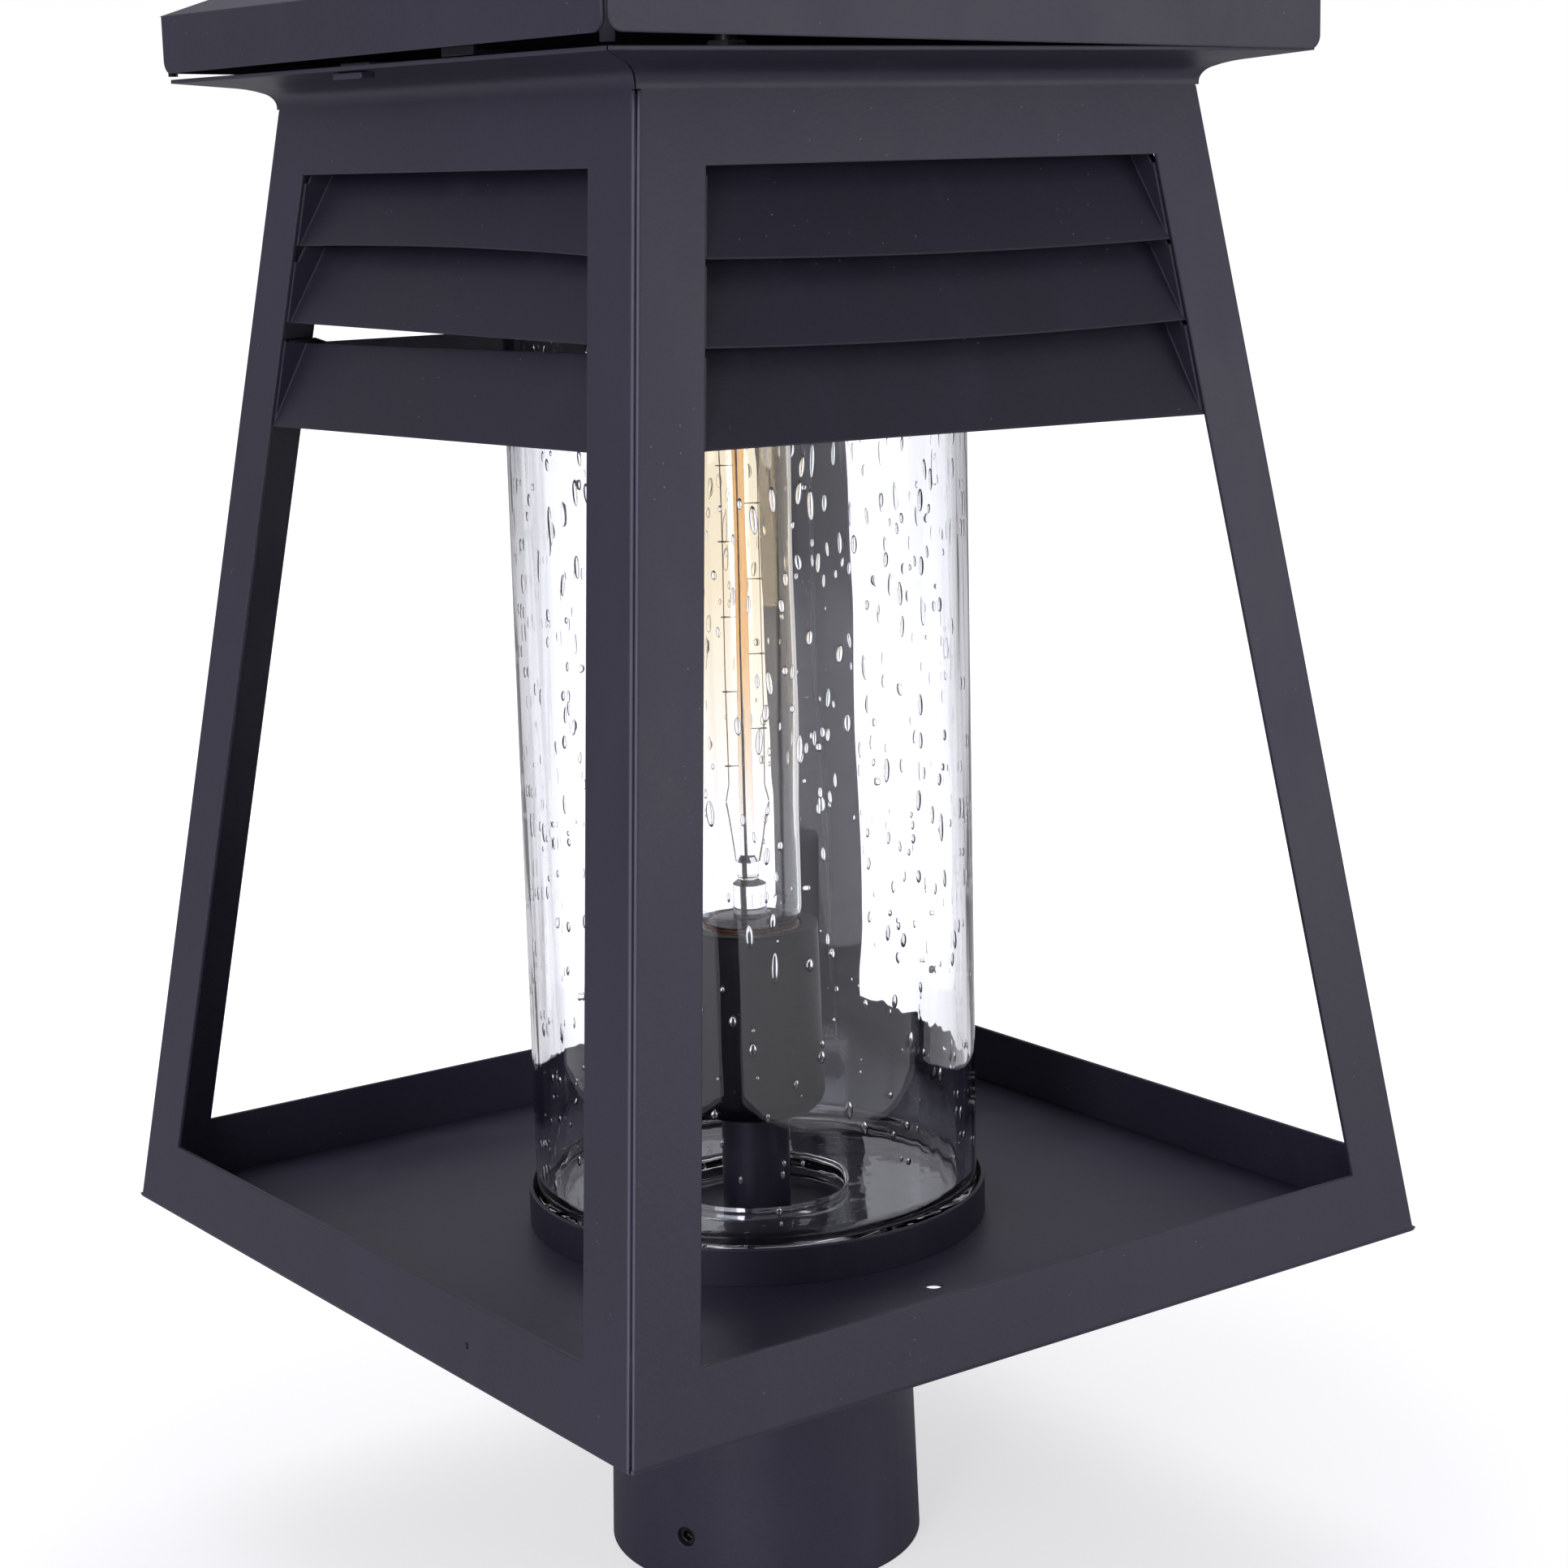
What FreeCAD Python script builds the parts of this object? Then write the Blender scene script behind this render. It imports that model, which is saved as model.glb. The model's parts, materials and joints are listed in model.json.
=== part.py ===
import FreeCAD, Part
import math
import os
import re
from Sketcher import Constraint

# Outdoor post light: a square, tapered lantern on a round fitter for a 3-inch post.
# Millimetres, +Z up, origin at the centre of the fitter's lower rim.
# Heights whose names end in "height" or "top" are counted from the tray's lower edge.

SIZES = {
    # sheet metal and gaps
    "sheet": 1.0,
    "weld_gap": 0.15,
    "seat_gap": 0.3,
    "thread_play": 0.05,
    "overrun": 6.0,
    # fitter
    "tray_drop": 93.5,
    "bore_radius": 38.5,
    "fitter_top_radius": 41.3,
    "fitter_rim_radius": 43.9,
    "fitter_plate": 3.0,
    "post_depth": 77.5,
    "chamber_radius": 33.0,
    "rim_round": 0.8,
    "screw_rise": 14.1,
    "screw_hole_radius": 2.8,
    "screw_length": 4.0,
    "screw_point": 0.8,
    "screw_hex": 1.7,
    "screw_hex_depth": 2.2,
    "first_screw_angle": 204.0,
    "screw_count": 3,
    # ground screw in the fitter's plate
    "ground_offset": 24.0,
    "ground_radius": 2.0,
    "ground_head_radius": 4.2,
    "ground_head": 2.4,
    "ground_slot": 1.0,
    # body panels
    "foot_half": 128.7,
    "neck_half": 86.9,
    "neck_height": 307.3,
    "rim_height": 20.0,
    "window_drop": 17.3,
    "stile": 19.5,
    "fold_radius": 0.6,
    "fold_strip": 4.6,
    "fold_lip": 6.0,
    "face_inset": 1.7,
    "mitre_gap": 0.25,
    "return_width": 12.0,
    "hem_radius": 1.5,
    "bend_radius": 4.1,
    "bend_slope": 25.0,
    "sweep_radius": 19.0,
    "flange_slope": 8.0,
    "coating_hole_radius": 0.85,
    "coating_hole_height": 9.5,
    "coating_hole_offset": 55.7,
    # louvre slats
    "slat_sheet": 0.8,
    "slat_inset": 0.8,
    "slat_set_back": 7.5,
    "slat_pitch": 20.5,
    "slat_gap": 2.0,
    "slat_lap": 3.0,
    "slat_skirt": 2.5,
    "cheek_clear": 0.7,
    "lowest_slat_extra": 3.5,
    "tab_width": 8.0,
    "tab_low_share": 0.4,
    # how far each slat's lower edge ends above its set height, left and right end
    # as seen from outside, and how much the edge hangs or lifts between them
    "front_1_start": -0.4,
    "front_1_end": -0.8,
    "front_1_hang": 1.1,
    "front_2_start": 0.1,
    "front_2_end": -0.8,
    "front_2_hang": 1.3,
    "front_3_start": 1.0,
    "front_3_end": -1.0,
    "left_1_start": 2.2,
    "left_1_end": 0.9,
    "left_1_lift": 1.05,
    "left_2_start": 2.6,
    "left_2_end": 1.4,
    "left_3_start": -1.1,
    "left_3_end": 1.0,
    "left_3_top_start": 21.6,
    "left_3_top_end": 24.1,
    "back_3_top": 21.2,
    # tray floor and gallery
    "floor_sheet": 1.0,
    "corner_clip": 10.0,
    "weep_radius": 2.35,
    "weep_offset": 80.4,
    "weep_shift": 1.5,
    "gallery_radius": 63.8,
    "gallery_wall": 1.1,
    "gallery_depth": 10.2,
    # glass cylinder
    "glass_radius": 61.6,
    "glass_wall": 3.2,
    "glass_floor": 7.6,
    "glass_length": 251.0,
    "glass_hole_radius": 24.5,
    "glass_heel": 8.0,
    "glass_inner_heel": 5.0,
    "glass_edge": 1.5,
    # nipple, nuts and stem
    "nipple_radius": 5.0,
    "nipple_bore": 3.6,
    "nipple_fit": 0.1,
    "nipple_nut": 4.0,
    "nipple_nut_corner": 8.1,
    "nipple_tail": 3.0,
    "washer_radius": 9.0,
    "washer_sheet": 1.2,
    "stem_radius": 9.45,
    "stem_wall": 1.0,
    "stem_length": 28.6,
    # lampholder
    "holder_top_radius": 18.7,
    "holder_low_radius": 19.8,
    "holder_length": 53.2,
    "holder_wall": 1.6,
    "holder_floor": 2.0,
    "holder_round": 6.0,
    "holder_mouth": 14.6,
    "holder_edge": 0.8,
    "core_radius": 16.4,
    "core_bore": 14.2,
    "core_low": 8.0,
    "core_floor": 15.8,
    "core_top_gap": 3.0,
    "core_eye": 2.4,
    "sleeve_radius": 13.9,
    "sleeve_wall": 0.5,
    "contact_radius": 4.0,
    "contact_sheet": 0.6,
    "rivet_radius": 1.8,
    "rivet_length": 10.0,
    "terminal_offset": 12.0,
    "terminal_radius": 1.5,
    "terminal_head_radius": 3.0,
    "terminal_head": 2.0,
    "terminal_length": 8.0,
    # bulb
    "bulb_radius": 14.4,
    "bulb_top": 247.0,
    "bulb_wall": 0.6,
    "bulb_neck_radius": 12.8,
    "bulb_neck_rise": 3.4,
    "bulb_shoulder": 4.0,
    "base_crest": 13.0,
    "base_root": 12.2,
    "base_inner": 11.7,
    "base_pitch": 3.629,
    "base_turns": 6,
    "base_crest_share": 0.55,
    "base_rim_radius": 13.5,
    "base_rim": 2.6,
    "base_nose": 2.6,
    "base_nose_radius": 5.0,
    "tip_radius": 4.0,
    "tip_height": 1.2,
    "disc_radius": 12.0,
    "disc_sheet": 0.8,
    "mount_flare": 11.9,
    "mount_flare_sheet": 0.6,
    "mount_low_radius": 4.8,
    "mount_low_rise": 12.0,
    "mount_knob_radius": 3.2,
    "mount_knob_rise": 6.2,
    "mount_waist": 2.7,
    "rod_radius": 1.9,
    "rod_top": 231.0,
    "lead_radius": 0.22,
    "lead_reach": 6.1,
    "lead_rise": 16.5,
    "wire_radius": 0.14,
    "wire_reach": 5.2,
    "wire_top_gap": 3.0,
    "support_pitch": 20.5,
    "support_eye": 0.75,
    "support_count": 5,
    "bulb_turn_angle": -35.3,
    # crossbar, stud and nuts
    "bar_sheet": 1.5,
    "bar_width": 14.0,
    "bar_leg": 103.0,
    "bar_shift": 11.7,
    "bar_straight": 8.0,
    "bar_hook": 2.3,
    "slot_width": 3.0,
    "slot_play": 0.3,
    "stud_radius": 3.0,
    "stud_tail": 2.0,
    "stud_nut": 5.0,
    "stud_nut_corner": 5.8,
    "stud_fit": 0.1,
    # roof, clips, cap and finial
    "roof_half": 109.0,
    "roof_gap": 0.5,
    "eave_rise": 16.6,
    "fascia": 16.2,
    "fascia_skew_across": 1.8,
    "fascia_skew_along": 0.6,
    "fascia_corner_open": 1.2,
    "fascia_corner_round": 3.5,
    "roof_rise": 34.0,
    "roof_flat_half": 24.0,
    "roof_sheet": 1.1,
    "stud_way": 0.6,
    "clip_offset": 45.0,
    "clip_width": 14.0,
    "clip_reach": 9.0,
    "clip_height": 10.0,
    "cap_half": 30.0,
    "cap_flat_half": 10.0,
    "cap_rise": 9.0,
    "cap_skirt": 4.5,
    "cap_lift": 3.5,
    "cap_corner_open": 1.4,
    "spacer_radius": 7.0,
    "fibre_radius": 8.0,
    "fibre_sheet": 1.0,
    "finial_radius": 9.0,
    "finial_foot": 4.0,
    "finial_neck": 4.6,
    "finial_ball": 8.0,
    "finial_bore_depth": 15.0,
    "finial_length": 27.0,
}

# Sizes worked out from the ones above.
WORKED_OUT = {
    "lean": "(foot_half - neck_half) / neck_height",
    "lean_angle": "atan(lean)",
    "window_top": "neck_height - window_drop",
    "bend_middle": "neck_half + bend_radius * cos(lean_angle)",
    "bend_level": "neck_height + bend_radius * sin(lean_angle)",
    "sweep_middle": "bend_middle - (bend_radius - sweep_radius) * sin(bend_slope)",
    "sweep_level": "bend_level + (bend_radius - sweep_radius) * cos(bend_slope)",
    "sweep_end": "sweep_middle - sweep_radius * sin(flange_slope)",
    "sweep_top": "sweep_level + sweep_radius * cos(flange_slope)",
    "flange_half": "roof_half - sheet - roof_gap",
    "flange_low": "sweep_top + (flange_half - sweep_end) * tan(flange_slope)",
    "flange_sheet": "sheet / cos(flange_slope)",
    "flange_top": "flange_low + flange_sheet",
    "fold_tangent": "fold_radius / tan(22.5)",
    "wall": "sheet / cos(lean_angle)",
    "floor_top": "wall + floor_sheet",
    "gallery_floor": "floor_top + sheet",
    "glass_low": "gallery_floor + seat_gap",
    "glass_top": "glass_low + glass_length",
    "screw_radius": "screw_hole_radius - thread_play",
    "holder_low": "gallery_floor + stem_length",
    "holder_top": "holder_low + holder_length",
    "core_foot": "holder_low + core_low",
    "core_deck": "core_foot + core_floor",
    "core_top": "holder_top - core_top_gap",
    "plate_low": "wall - fitter_plate",
    "nut_low": "plate_low - washer_sheet - nipple_nut",
    "nipple_hole": "nipple_radius + nipple_fit",
    "contact_top": "core_deck + contact_sheet",
    "tip_low": "contact_top + seat_gap",
    "nose_low": "tip_low + tip_height",
    "thread_low": "nose_low + base_nose",
    "thread_top": "thread_low + base_pitch * base_turns",
    "rim_top": "thread_top + base_rim",
    "disc_low": "rim_top",
    "mount_low": "disc_low + disc_sheet",
    "knob_low": "mount_low + mount_low_rise",
    "knob_top": "knob_low + mount_knob_rise",
    "slot_in": "bar_leg - slot_width / 2",
    "slot_out": "bar_leg + slot_width / 2",
    "bar_low": "flange_top - (flange_half - slot_in) * tan(flange_slope) + weld_gap",
    "bar_top": "bar_low + bar_sheet",
    "hook_top": "flange_low - (flange_half - slot_out) * tan(flange_slope) - weld_gap",
    "eave": "flange_top + eave_rise",
    "roof_top": "eave + roof_rise",
    "cap_eave": "roof_top + cap_lift",
    "cap_top": "cap_eave + cap_rise",
    "finial_low": "cap_top + fibre_sheet",
    "stud_top": "finial_low + finial_bore_depth - overrun / 4",
    "diagonal": "sqrt(0.5)",
}

doc = FreeCAD.newDocument("PostLight")
cells = doc.addObject("Spreadsheet::Sheet", "Sizes")
for row, (alias, value) in enumerate(SIZES.items(), start=1):
    cells.set(f"A{row}", alias)
    cells.set(f"B{row}", str(value))
    cells.setAlias(f"B{row}", alias)
doc.recompute()

NODES = {}


def linked(expression):
    """The expression with each named size pointing at its cell."""
    def swap(found):
        word = found.group(0)
        if word in WORKED_OUT:
            return "(" + linked(WORKED_OUT[word]) + ")"
        if word in SIZES:
            return "Sizes." + word
        return word
    return re.sub(r"[a-z]\w*", swap, expression)


def number(expression):
    """The expression's value, from the cells."""
    return float(cells.evalExpression(linked(expression)))


def half_at(height):
    """Half the body's outer width at a height above the tray's lower edge."""
    return f"(foot_half - lean * ({height}))"


def minus(expression):
    return "0" if expression == "0" else f"-({expression})"


def mirrored(loop):
    """The straight-edged loop on the other side of the vertical axis."""
    corners = [(minus(corner[0]),) + tuple(corner[1:2]) for corner in loop]
    return list(reversed(corners))


def circle(across, up, radius):
    return {"centre": (across, up), "radius": radius}


def rectangle(left, right, low, high):
    return [(left, low), (right, low), (right, high), (left, high)]


# Sketches

def hold_point(sketch, geometry, point, across, up):
    """Ties a point's two coordinates to expressions."""
    for kind, axis, expression in (("DistanceX", -2, across), ("DistanceY", -1, up)):
        if expression == "0":
            sketch.addConstraint(Constraint("PointOnObject", geometry, point, axis))
            continue
        value = number(expression)
        index = sketch.addConstraint(
            Constraint(kind, -1, 1, geometry, point, value))
        sketch.setExpression(f"Constraints[{index}]", linked(expression))


def hold_radius(sketch, geometry, expression):
    index = sketch.addConstraint(
        Constraint("Radius", geometry, number(expression)))
    sketch.setExpression(f"Constraints[{index}]", linked(expression))


def arc_between(here, there, radius, turn):
    """The short arc from here to there: turn is 1 to the left and -1 to the right."""
    chord = there - here
    reach = math.sqrt(max(radius ** 2 - (chord.Length / 2) ** 2, 0))
    left = FreeCAD.Vector(-chord.y, chord.x, 0).normalize()
    centre = (here + there) / 2 + left * reach * turn
    angles = [math.atan2(end.y - centre.y, end.x - centre.x) for end in (here, there)]
    if turn < 0:
        angles.reverse()
    if angles[1] <= angles[0]:
        angles[1] += 2 * math.pi
    round_line = Part.Circle(centre, FreeCAD.Vector(0, 0, 1), radius)
    return Part.ArcOfCircle(round_line, angles[0], angles[1])


def add_loop(sketch, loop):
    """Draws a closed loop. A corner is (across, up), or (across, up, radius, turn)
    where an arc leads from it to the next corner."""
    if isinstance(loop, dict):
        across, up = loop["centre"]
        centre = FreeCAD.Vector(number(across), number(up), 0)
        ring = Part.Circle(centre, FreeCAD.Vector(0, 0, 1), number(loop["radius"]))
        geometry = sketch.addGeometry(ring, False)
        hold_point(sketch, geometry, 3, across, up)
        hold_radius(sketch, geometry, loop["radius"])
        return
    places = [FreeCAD.Vector(number(corner[0]), number(corner[1]), 0) for corner in loop]
    starts, ends = [], []
    for index, corner in enumerate(loop):
        here = places[index]
        there = places[(index + 1) % len(loop)]
        if len(corner) == 2:
            geometry = sketch.addGeometry(Part.LineSegment(here, there), False)
            forward = True
        else:
            arc = arc_between(here, there, number(corner[2]), corner[3])
            geometry = sketch.addGeometry(arc, False)
            forward = corner[3] > 0
        starts.append((geometry, 1 if forward else 2))
        ends.append((geometry, 2 if forward else 1))
    for index, corner in enumerate(loop):
        following = starts[(index + 1) % len(loop)]
        sketch.addConstraint(Constraint("Coincident", *ends[index], *following))
    for index, corner in enumerate(loop):
        hold_point(sketch, *starts[index], corner[0], corner[1])
        if len(corner) > 2:
            hold_radius(sketch, starts[index][0], corner[2])


def own_plane(body, role):
    return next(item for item in body.Origin.OriginFeatures if item.Role == role)


def draw(body, name, plane_role, loops, lift="0", tilt=None):
    """A sketch on one of the body's own planes, lifted along the plane's normal
    and, with a tilt, leaning back from its own horizontal axis."""
    sketch = body.newObject("Sketcher::SketchObject", name)
    sketch.AttachmentSupport = [(own_plane(body, plane_role), "")]
    sketch.MapMode = "FlatFace"
    if tilt is not None:
        turn = FreeCAD.Rotation(FreeCAD.Vector(-1, 0, 0), number(tilt))
        sketch.AttachmentOffset = FreeCAD.Placement(FreeCAD.Vector(0, 0, 0), turn)
        sketch.setExpression("AttachmentOffset.Rotation.Angle", linked(tilt))
    if lift != "0":
        sketch.setExpression("AttachmentOffset.Base.z", linked(lift))
    for loop in loops:
        add_loop(sketch, loop)
    return sketch


# Features

def new_body(name):
    body = doc.addObject("PartDesign::Body", name)
    body.Label = name
    NODES[name] = body
    return body


def pad(body, name, plane_role, loops, length, lift="0", symmetric=False, reverse=False,
        tilt=None, along=None):
    """A pad; with three expressions in along it runs in that direction, its length
    still measured square to the sketch."""
    feature = body.newObject("PartDesign::Pad", name)
    feature.Profile = draw(body, name + "_outline", plane_role, loops, lift, tilt)
    if symmetric:
        feature.SideType = "Symmetric"
    feature.Reversed = reverse
    feature.setExpression("Length", linked(length))
    if along is not None:
        feature.UseCustomVector = True
        feature.AlongSketchNormal = True
        for axis, expression in zip("xyz", along):
            feature.setExpression(f"Direction.{axis}", linked(expression))
    return feature


def pocket(body, name, plane_role, loops, lift="0", depth=None, reverse=False):
    """Cuts right through both ways, or to a depth from the sketch."""
    feature = body.newObject("PartDesign::Pocket", name)
    feature.Profile = draw(body, name + "_outline", plane_role, loops, lift)
    if depth is None:
        feature.Type = "ThroughAll"
        feature.SideType = "Symmetric"
    else:
        feature.setExpression("Length", linked(depth))
        feature.Reversed = reverse
    return feature


def turned(name, loop):
    """A body of revolution about Z from a loop of (radius, height) corners."""
    body = new_body(name)
    sketch = draw(body, name + "_section", "XZ_Plane", [loop])
    feature = body.newObject("PartDesign::Revolution", name + "_turn")
    feature.Profile = sketch
    feature.ReferenceAxis = (sketch, ["V_Axis"])
    feature.Angle = 360
    return body


def around(body, name, original, count):
    """Repeats a feature evenly about Z."""
    pattern = body.newObject("PartDesign::PolarPattern", name)
    pattern.Originals = [original]
    pattern.Axis = (own_plane(body, "Z_Axis"), [""])
    pattern.Angle = 360
    pattern.setExpression("Occurrences", linked(count))
    body.Tip = pattern
    return pattern


def place(item, across="0", along="0", height="tray_drop", rotation=None):
    """Puts an item in the whole object's frame."""
    if rotation is not None:
        item.Placement = FreeCAD.Placement(FreeCAD.Vector(0, 0, 0), rotation)
    for axis, expression in (("x", across), ("y", along), ("z", height)):
        if expression != "0":
            item.setExpression(f"Placement.Base.{axis}", linked(expression))


def tube_loop(inner, outer, low, high):
    return rectangle(inner, outer, low, high)


def about_z(angle):
    return FreeCAD.Rotation(FreeCAD.Vector(0, 0, 1), angle)


def about_x(angle):
    return FreeCAD.Rotation(FreeCAD.Vector(1, 0, 0), angle)


def about_y(angle):
    return FreeCAD.Rotation(FreeCAD.Vector(0, 1, 0), angle)


# The four sides: name, turn about Z from the front, and the outward direction.
SIDES = {
    "front": (0, (0, -1)),
    "right": (90, (1, 0)),
    "back": (180, (0, 1)),
    "left": (270, (-1, 0)),
}


def corner_section():
    """The right-hand corner fold seen from above: a strip of the face, the sharp fold
    and the lip that runs inward along the mitre."""
    half = half_at("hem_radius")
    tip = f"{half} - mitre_gap"
    slant = "diagonal * fold_tangent"
    lip = "diagonal * fold_lip"
    across = "diagonal * wall"
    return [
        (f"{tip} - fold_strip", f"-{half}"),
        (f"{tip} - fold_tangent", f"-{half}", "fold_radius", 1),
        (f"{tip} - {slant}", f"-{half} + {slant}"),
        (f"{tip} - {lip}", f"-{half} + {lip}"),
        (f"{tip} - {lip} - {across}", f"-{half} + {lip} - {across}"),
        (f"{tip} - wall / tan(22.5)", f"-{half} + wall"),
        (f"{tip} - fold_strip", f"-{half} + wall"),
    ]


def neck_section():
    """The bend at the neck, the sweep and the rising flange, from the side."""
    thick_bend = "(bend_radius + sheet)"
    thick_sweep = "(sweep_radius + sheet)"
    return [
        ("-neck_half", "neck_height", "bend_radius", 1),
        ("-bend_middle + bend_radius * sin(bend_slope)",
         "bend_level + bend_radius * cos(bend_slope)", "sweep_radius", 1),
        ("-sweep_end", "sweep_top"),
        ("-flange_half", "flange_low"),
        ("-flange_half", "flange_top"),
        (f"-sweep_middle + {thick_sweep} * sin(flange_slope)",
         f"sweep_level + {thick_sweep} * cos(flange_slope)", thick_sweep, -1),
        (f"-bend_middle + {thick_bend} * sin(bend_slope)",
         f"bend_level + {thick_bend} * cos(bend_slope)", thick_bend, -1),
        ("-neck_half + sheet * cos(lean_angle)", "neck_height - sheet * sin(lean_angle)"),
    ]


def side_panel(side):
    """One folded side: window, rim, bottom return, neck bend and flange."""
    name = f"side_panel_{side}"
    body = new_body(name)
    foot = half_at("hem_radius")
    face = [
        (f"-({foot} - face_inset)", "hem_radius / cos(lean_angle)"),
        (f"{foot} - face_inset", "hem_radius / cos(lean_angle)"),
        ("neck_half - face_inset", "neck_height / cos(lean_angle)"),
        ("-(neck_half - face_inset)", "neck_height / cos(lean_angle)"),
    ]
    pad(body, name + "_face", "XZ_Plane", [face], "sheet", lift="foot_half", reverse=True,
        tilt="lean_angle")
    fold = pad(body, name + "_fold", "XY_Plane", [corner_section()],
               "neck_height - weld_gap - sheet * sin(lean_angle) - hem_radius",
               lift="hem_radius", along=("-lean", "lean", "1"))
    folds = body.newObject("PartDesign::Mirrored", name + "_folds")
    folds.Originals = [fold]
    folds.MirrorPlane = (own_plane(body, "YZ_Plane"), [""])
    body.Tip = folds

    hem = [
        (f"-{foot}", "hem_radius", "hem_radius", 1),
        (f"-{foot} + hem_radius", "0"),
        (f"-{foot} + return_width", "0"),
        (f"-{foot} + return_width", "wall"),
        (f"-{foot} + hem_radius", "wall", "hem_radius - wall", -1),
        (f"-{foot} + wall", "hem_radius"),
    ]
    pad(body, name + "_hem", "YZ_Plane", [hem], f"2 * {foot}", symmetric=True)
    pad(body, name + "_neck", "YZ_Plane", [neck_section()], "2 * flange_half", symmetric=True)

    mitre_start = "neck_half / 2"
    mitre_end = "foot_half + overrun"
    mitre = [
        (mitre_start, f"-({mitre_start}) - mitre_gap"),
        (mitre_end, f"-({mitre_end}) - mitre_gap"),
        (mitre_end, f"-({mitre_start}) - mitre_gap"),
    ]
    pocket(body, name + "_mitre", "XY_Plane", [mitre, mirrored(mitre)])

    window_foot = f"{half_at('rim_height')} - stile"
    window_head = f"{half_at('window_top')} - stile"
    window = [
        (f"-({window_foot})", "rim_height"),
        (window_foot, "rim_height"),
        (window_head, "window_top"),
        (f"-({window_head})", "window_top"),
    ]
    pocket(body, name + "_window", "XZ_Plane", [window])

    if side in ("left", "right"):
        slot_half = "(bar_width / 2 + slot_play)"
        slot = rectangle(f"-bar_shift - {slot_half}", f"-bar_shift + {slot_half}",
                         "-slot_out", "-slot_in")
        pocket(body, name + "_slot", "XY_Plane", [slot])
    if side == "left":
        hole = circle("coating_hole_offset", "coating_hole_height", "coating_hole_radius")
        pocket(body, name + "_coating_hole", "XZ_Plane", [hole])
    place(body, rotation=about_z(SIDES[side][0]))


def louvre_slat(side, order, low, rise, foot_line, top_line):
    """A sloped slat between the stiles, with cheeks and fixing tabs, drawn in the
    leaning plane of its panel: Y goes inward and Z up the face. Plate and cheeks run
    on behind the slat above; foot_line and top_line trim its lower and upper edge."""
    name = f"louvre_{side}_{order}"
    body = new_body(name)
    slope = f"(({rise}) / cos(lean_angle))"
    reach = f"({slope} + slat_gap + slat_lap)"
    taper = "lean * cos(lean_angle)"
    foot_half = f"({half_at(low)} - stile - weld_gap)"
    head_half = f"({half_at(f'{low} + {rise}')} - stile - weld_gap)"
    pitch_back = f"((slat_set_back - slat_inset) / {slope})"
    skirt_face = f"slat_inset - {pitch_back} * slat_skirt"
    reach_face = f"slat_inset + {pitch_back} * {reach}"

    plate = [
        (skirt_face, "-slat_skirt"),
        (f"{skirt_face} + slat_sheet", "-slat_skirt"),
        (f"{reach_face} + slat_sheet", reach),
        (reach_face, reach),
    ]
    pad(body, name + "_plate", "YZ_Plane", [plate], f"2 * ({foot_half} + slat_skirt)",
        symmetric=True)
    end = [
        (f"{foot_half} + {taper} * overrun", "-overrun"),
        (f"{foot_half} + overrun", "-overrun"),
        (f"{foot_half} + overrun", f"{slope} + overrun"),
        (f"{head_half} - {taper} * overrun", f"{slope} + overrun"),
    ]
    pocket(body, name + "_ends", "XZ_Plane", [end, mirrored(end)])

    cheek = [
        (f"{foot_half} + {taper} * slat_skirt - slat_sheet", "-slat_skirt"),
        (f"{foot_half} + {taper} * slat_skirt", "-slat_skirt"),
        (f"{foot_half} - {taper} * {reach}", reach),
        (f"{foot_half} - {taper} * {reach} - slat_sheet", reach),
    ]
    pad(body, name + "_cheeks", "XZ_Plane", [cheek, mirrored(cheek)],
        f"{pitch_back} * {reach} + slat_sheet", lift="-slat_inset", reverse=True)
    behind = [
        (f"slat_inset + slat_sheet - {pitch_back} * overrun", "-overrun"),
        (f"{reach_face} + overrun", "-overrun"),
        (f"{reach_face} + overrun", f"{reach} + slat_sheet"),
        (f"{reach_face} + slat_sheet + {pitch_back} * slat_sheet", f"{reach} + slat_sheet"),
    ]
    pocket(body, name + "_behind", "YZ_Plane", [behind])
    notch = [
        ("-overrun", slope),
        (f"slat_inset + slat_sheet + cheek_clear - {pitch_back} * slat_gap", slope),
        (f"slat_inset + slat_sheet + cheek_clear + {pitch_back} * slat_lap", reach),
        (f"slat_inset + slat_sheet + cheek_clear + {pitch_back} * slat_lap",
         f"{reach} + overrun"),
        ("-overrun", f"{reach} + overrun"),
    ]
    pocket(body, name + "_notch", "YZ_Plane", [notch])

    tab_low = f"tab_low_share * {slope}"
    tab_foot = f"({foot_half} - {taper} * {tab_low})"
    tab = [
        (f"{tab_foot} - slat_sheet", tab_low),
        (f"{tab_foot} + tab_width", tab_low),
        (f"{head_half} + tab_width", slope),
        (f"{head_half} - slat_sheet", slope),
    ]
    pad(body, name + "_tabs", "XZ_Plane", [tab, mirrored(tab)], "slat_sheet",
        lift="-sheet - weld_gap", reverse=True)

    start, finish, bow, turn = foot_line
    first = (minus(foot_half), start)
    if bow is not None:
        first += (f"({foot_half}^2 + {bow}^2) / (2 * {bow})", turn)
    below = [
        first,
        (foot_half, finish),
        (f"{foot_half} + overrun", finish),
        (f"{foot_half} + overrun", "-overrun"),
        (f"-{foot_half} - overrun", "-overrun"),
        (f"-{foot_half} - overrun", start),
    ]
    pocket(body, name + "_foot", "XZ_Plane", [below])
    if top_line is not None:
        wide = f"({foot_half} + tab_width + overrun)"
        above = [
            (minus(wide), top_line[0]),
            (wide, top_line[1]),
            (wide, f"{reach} + overrun"),
            (minus(wide), f"{reach} + overrun"),
        ]
        pocket(body, name + "_top", "XZ_Plane", [above])

    angle, (across, along) = SIDES[side]
    face = half_at(low)
    rotation = about_z(angle).multiply(about_x(-number("lean_angle")))
    place(body, f"{across} * {face}" if across else "0", f"{along} * {face}" if along else "0",
          f"tray_drop + {low}", rotation)


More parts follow.
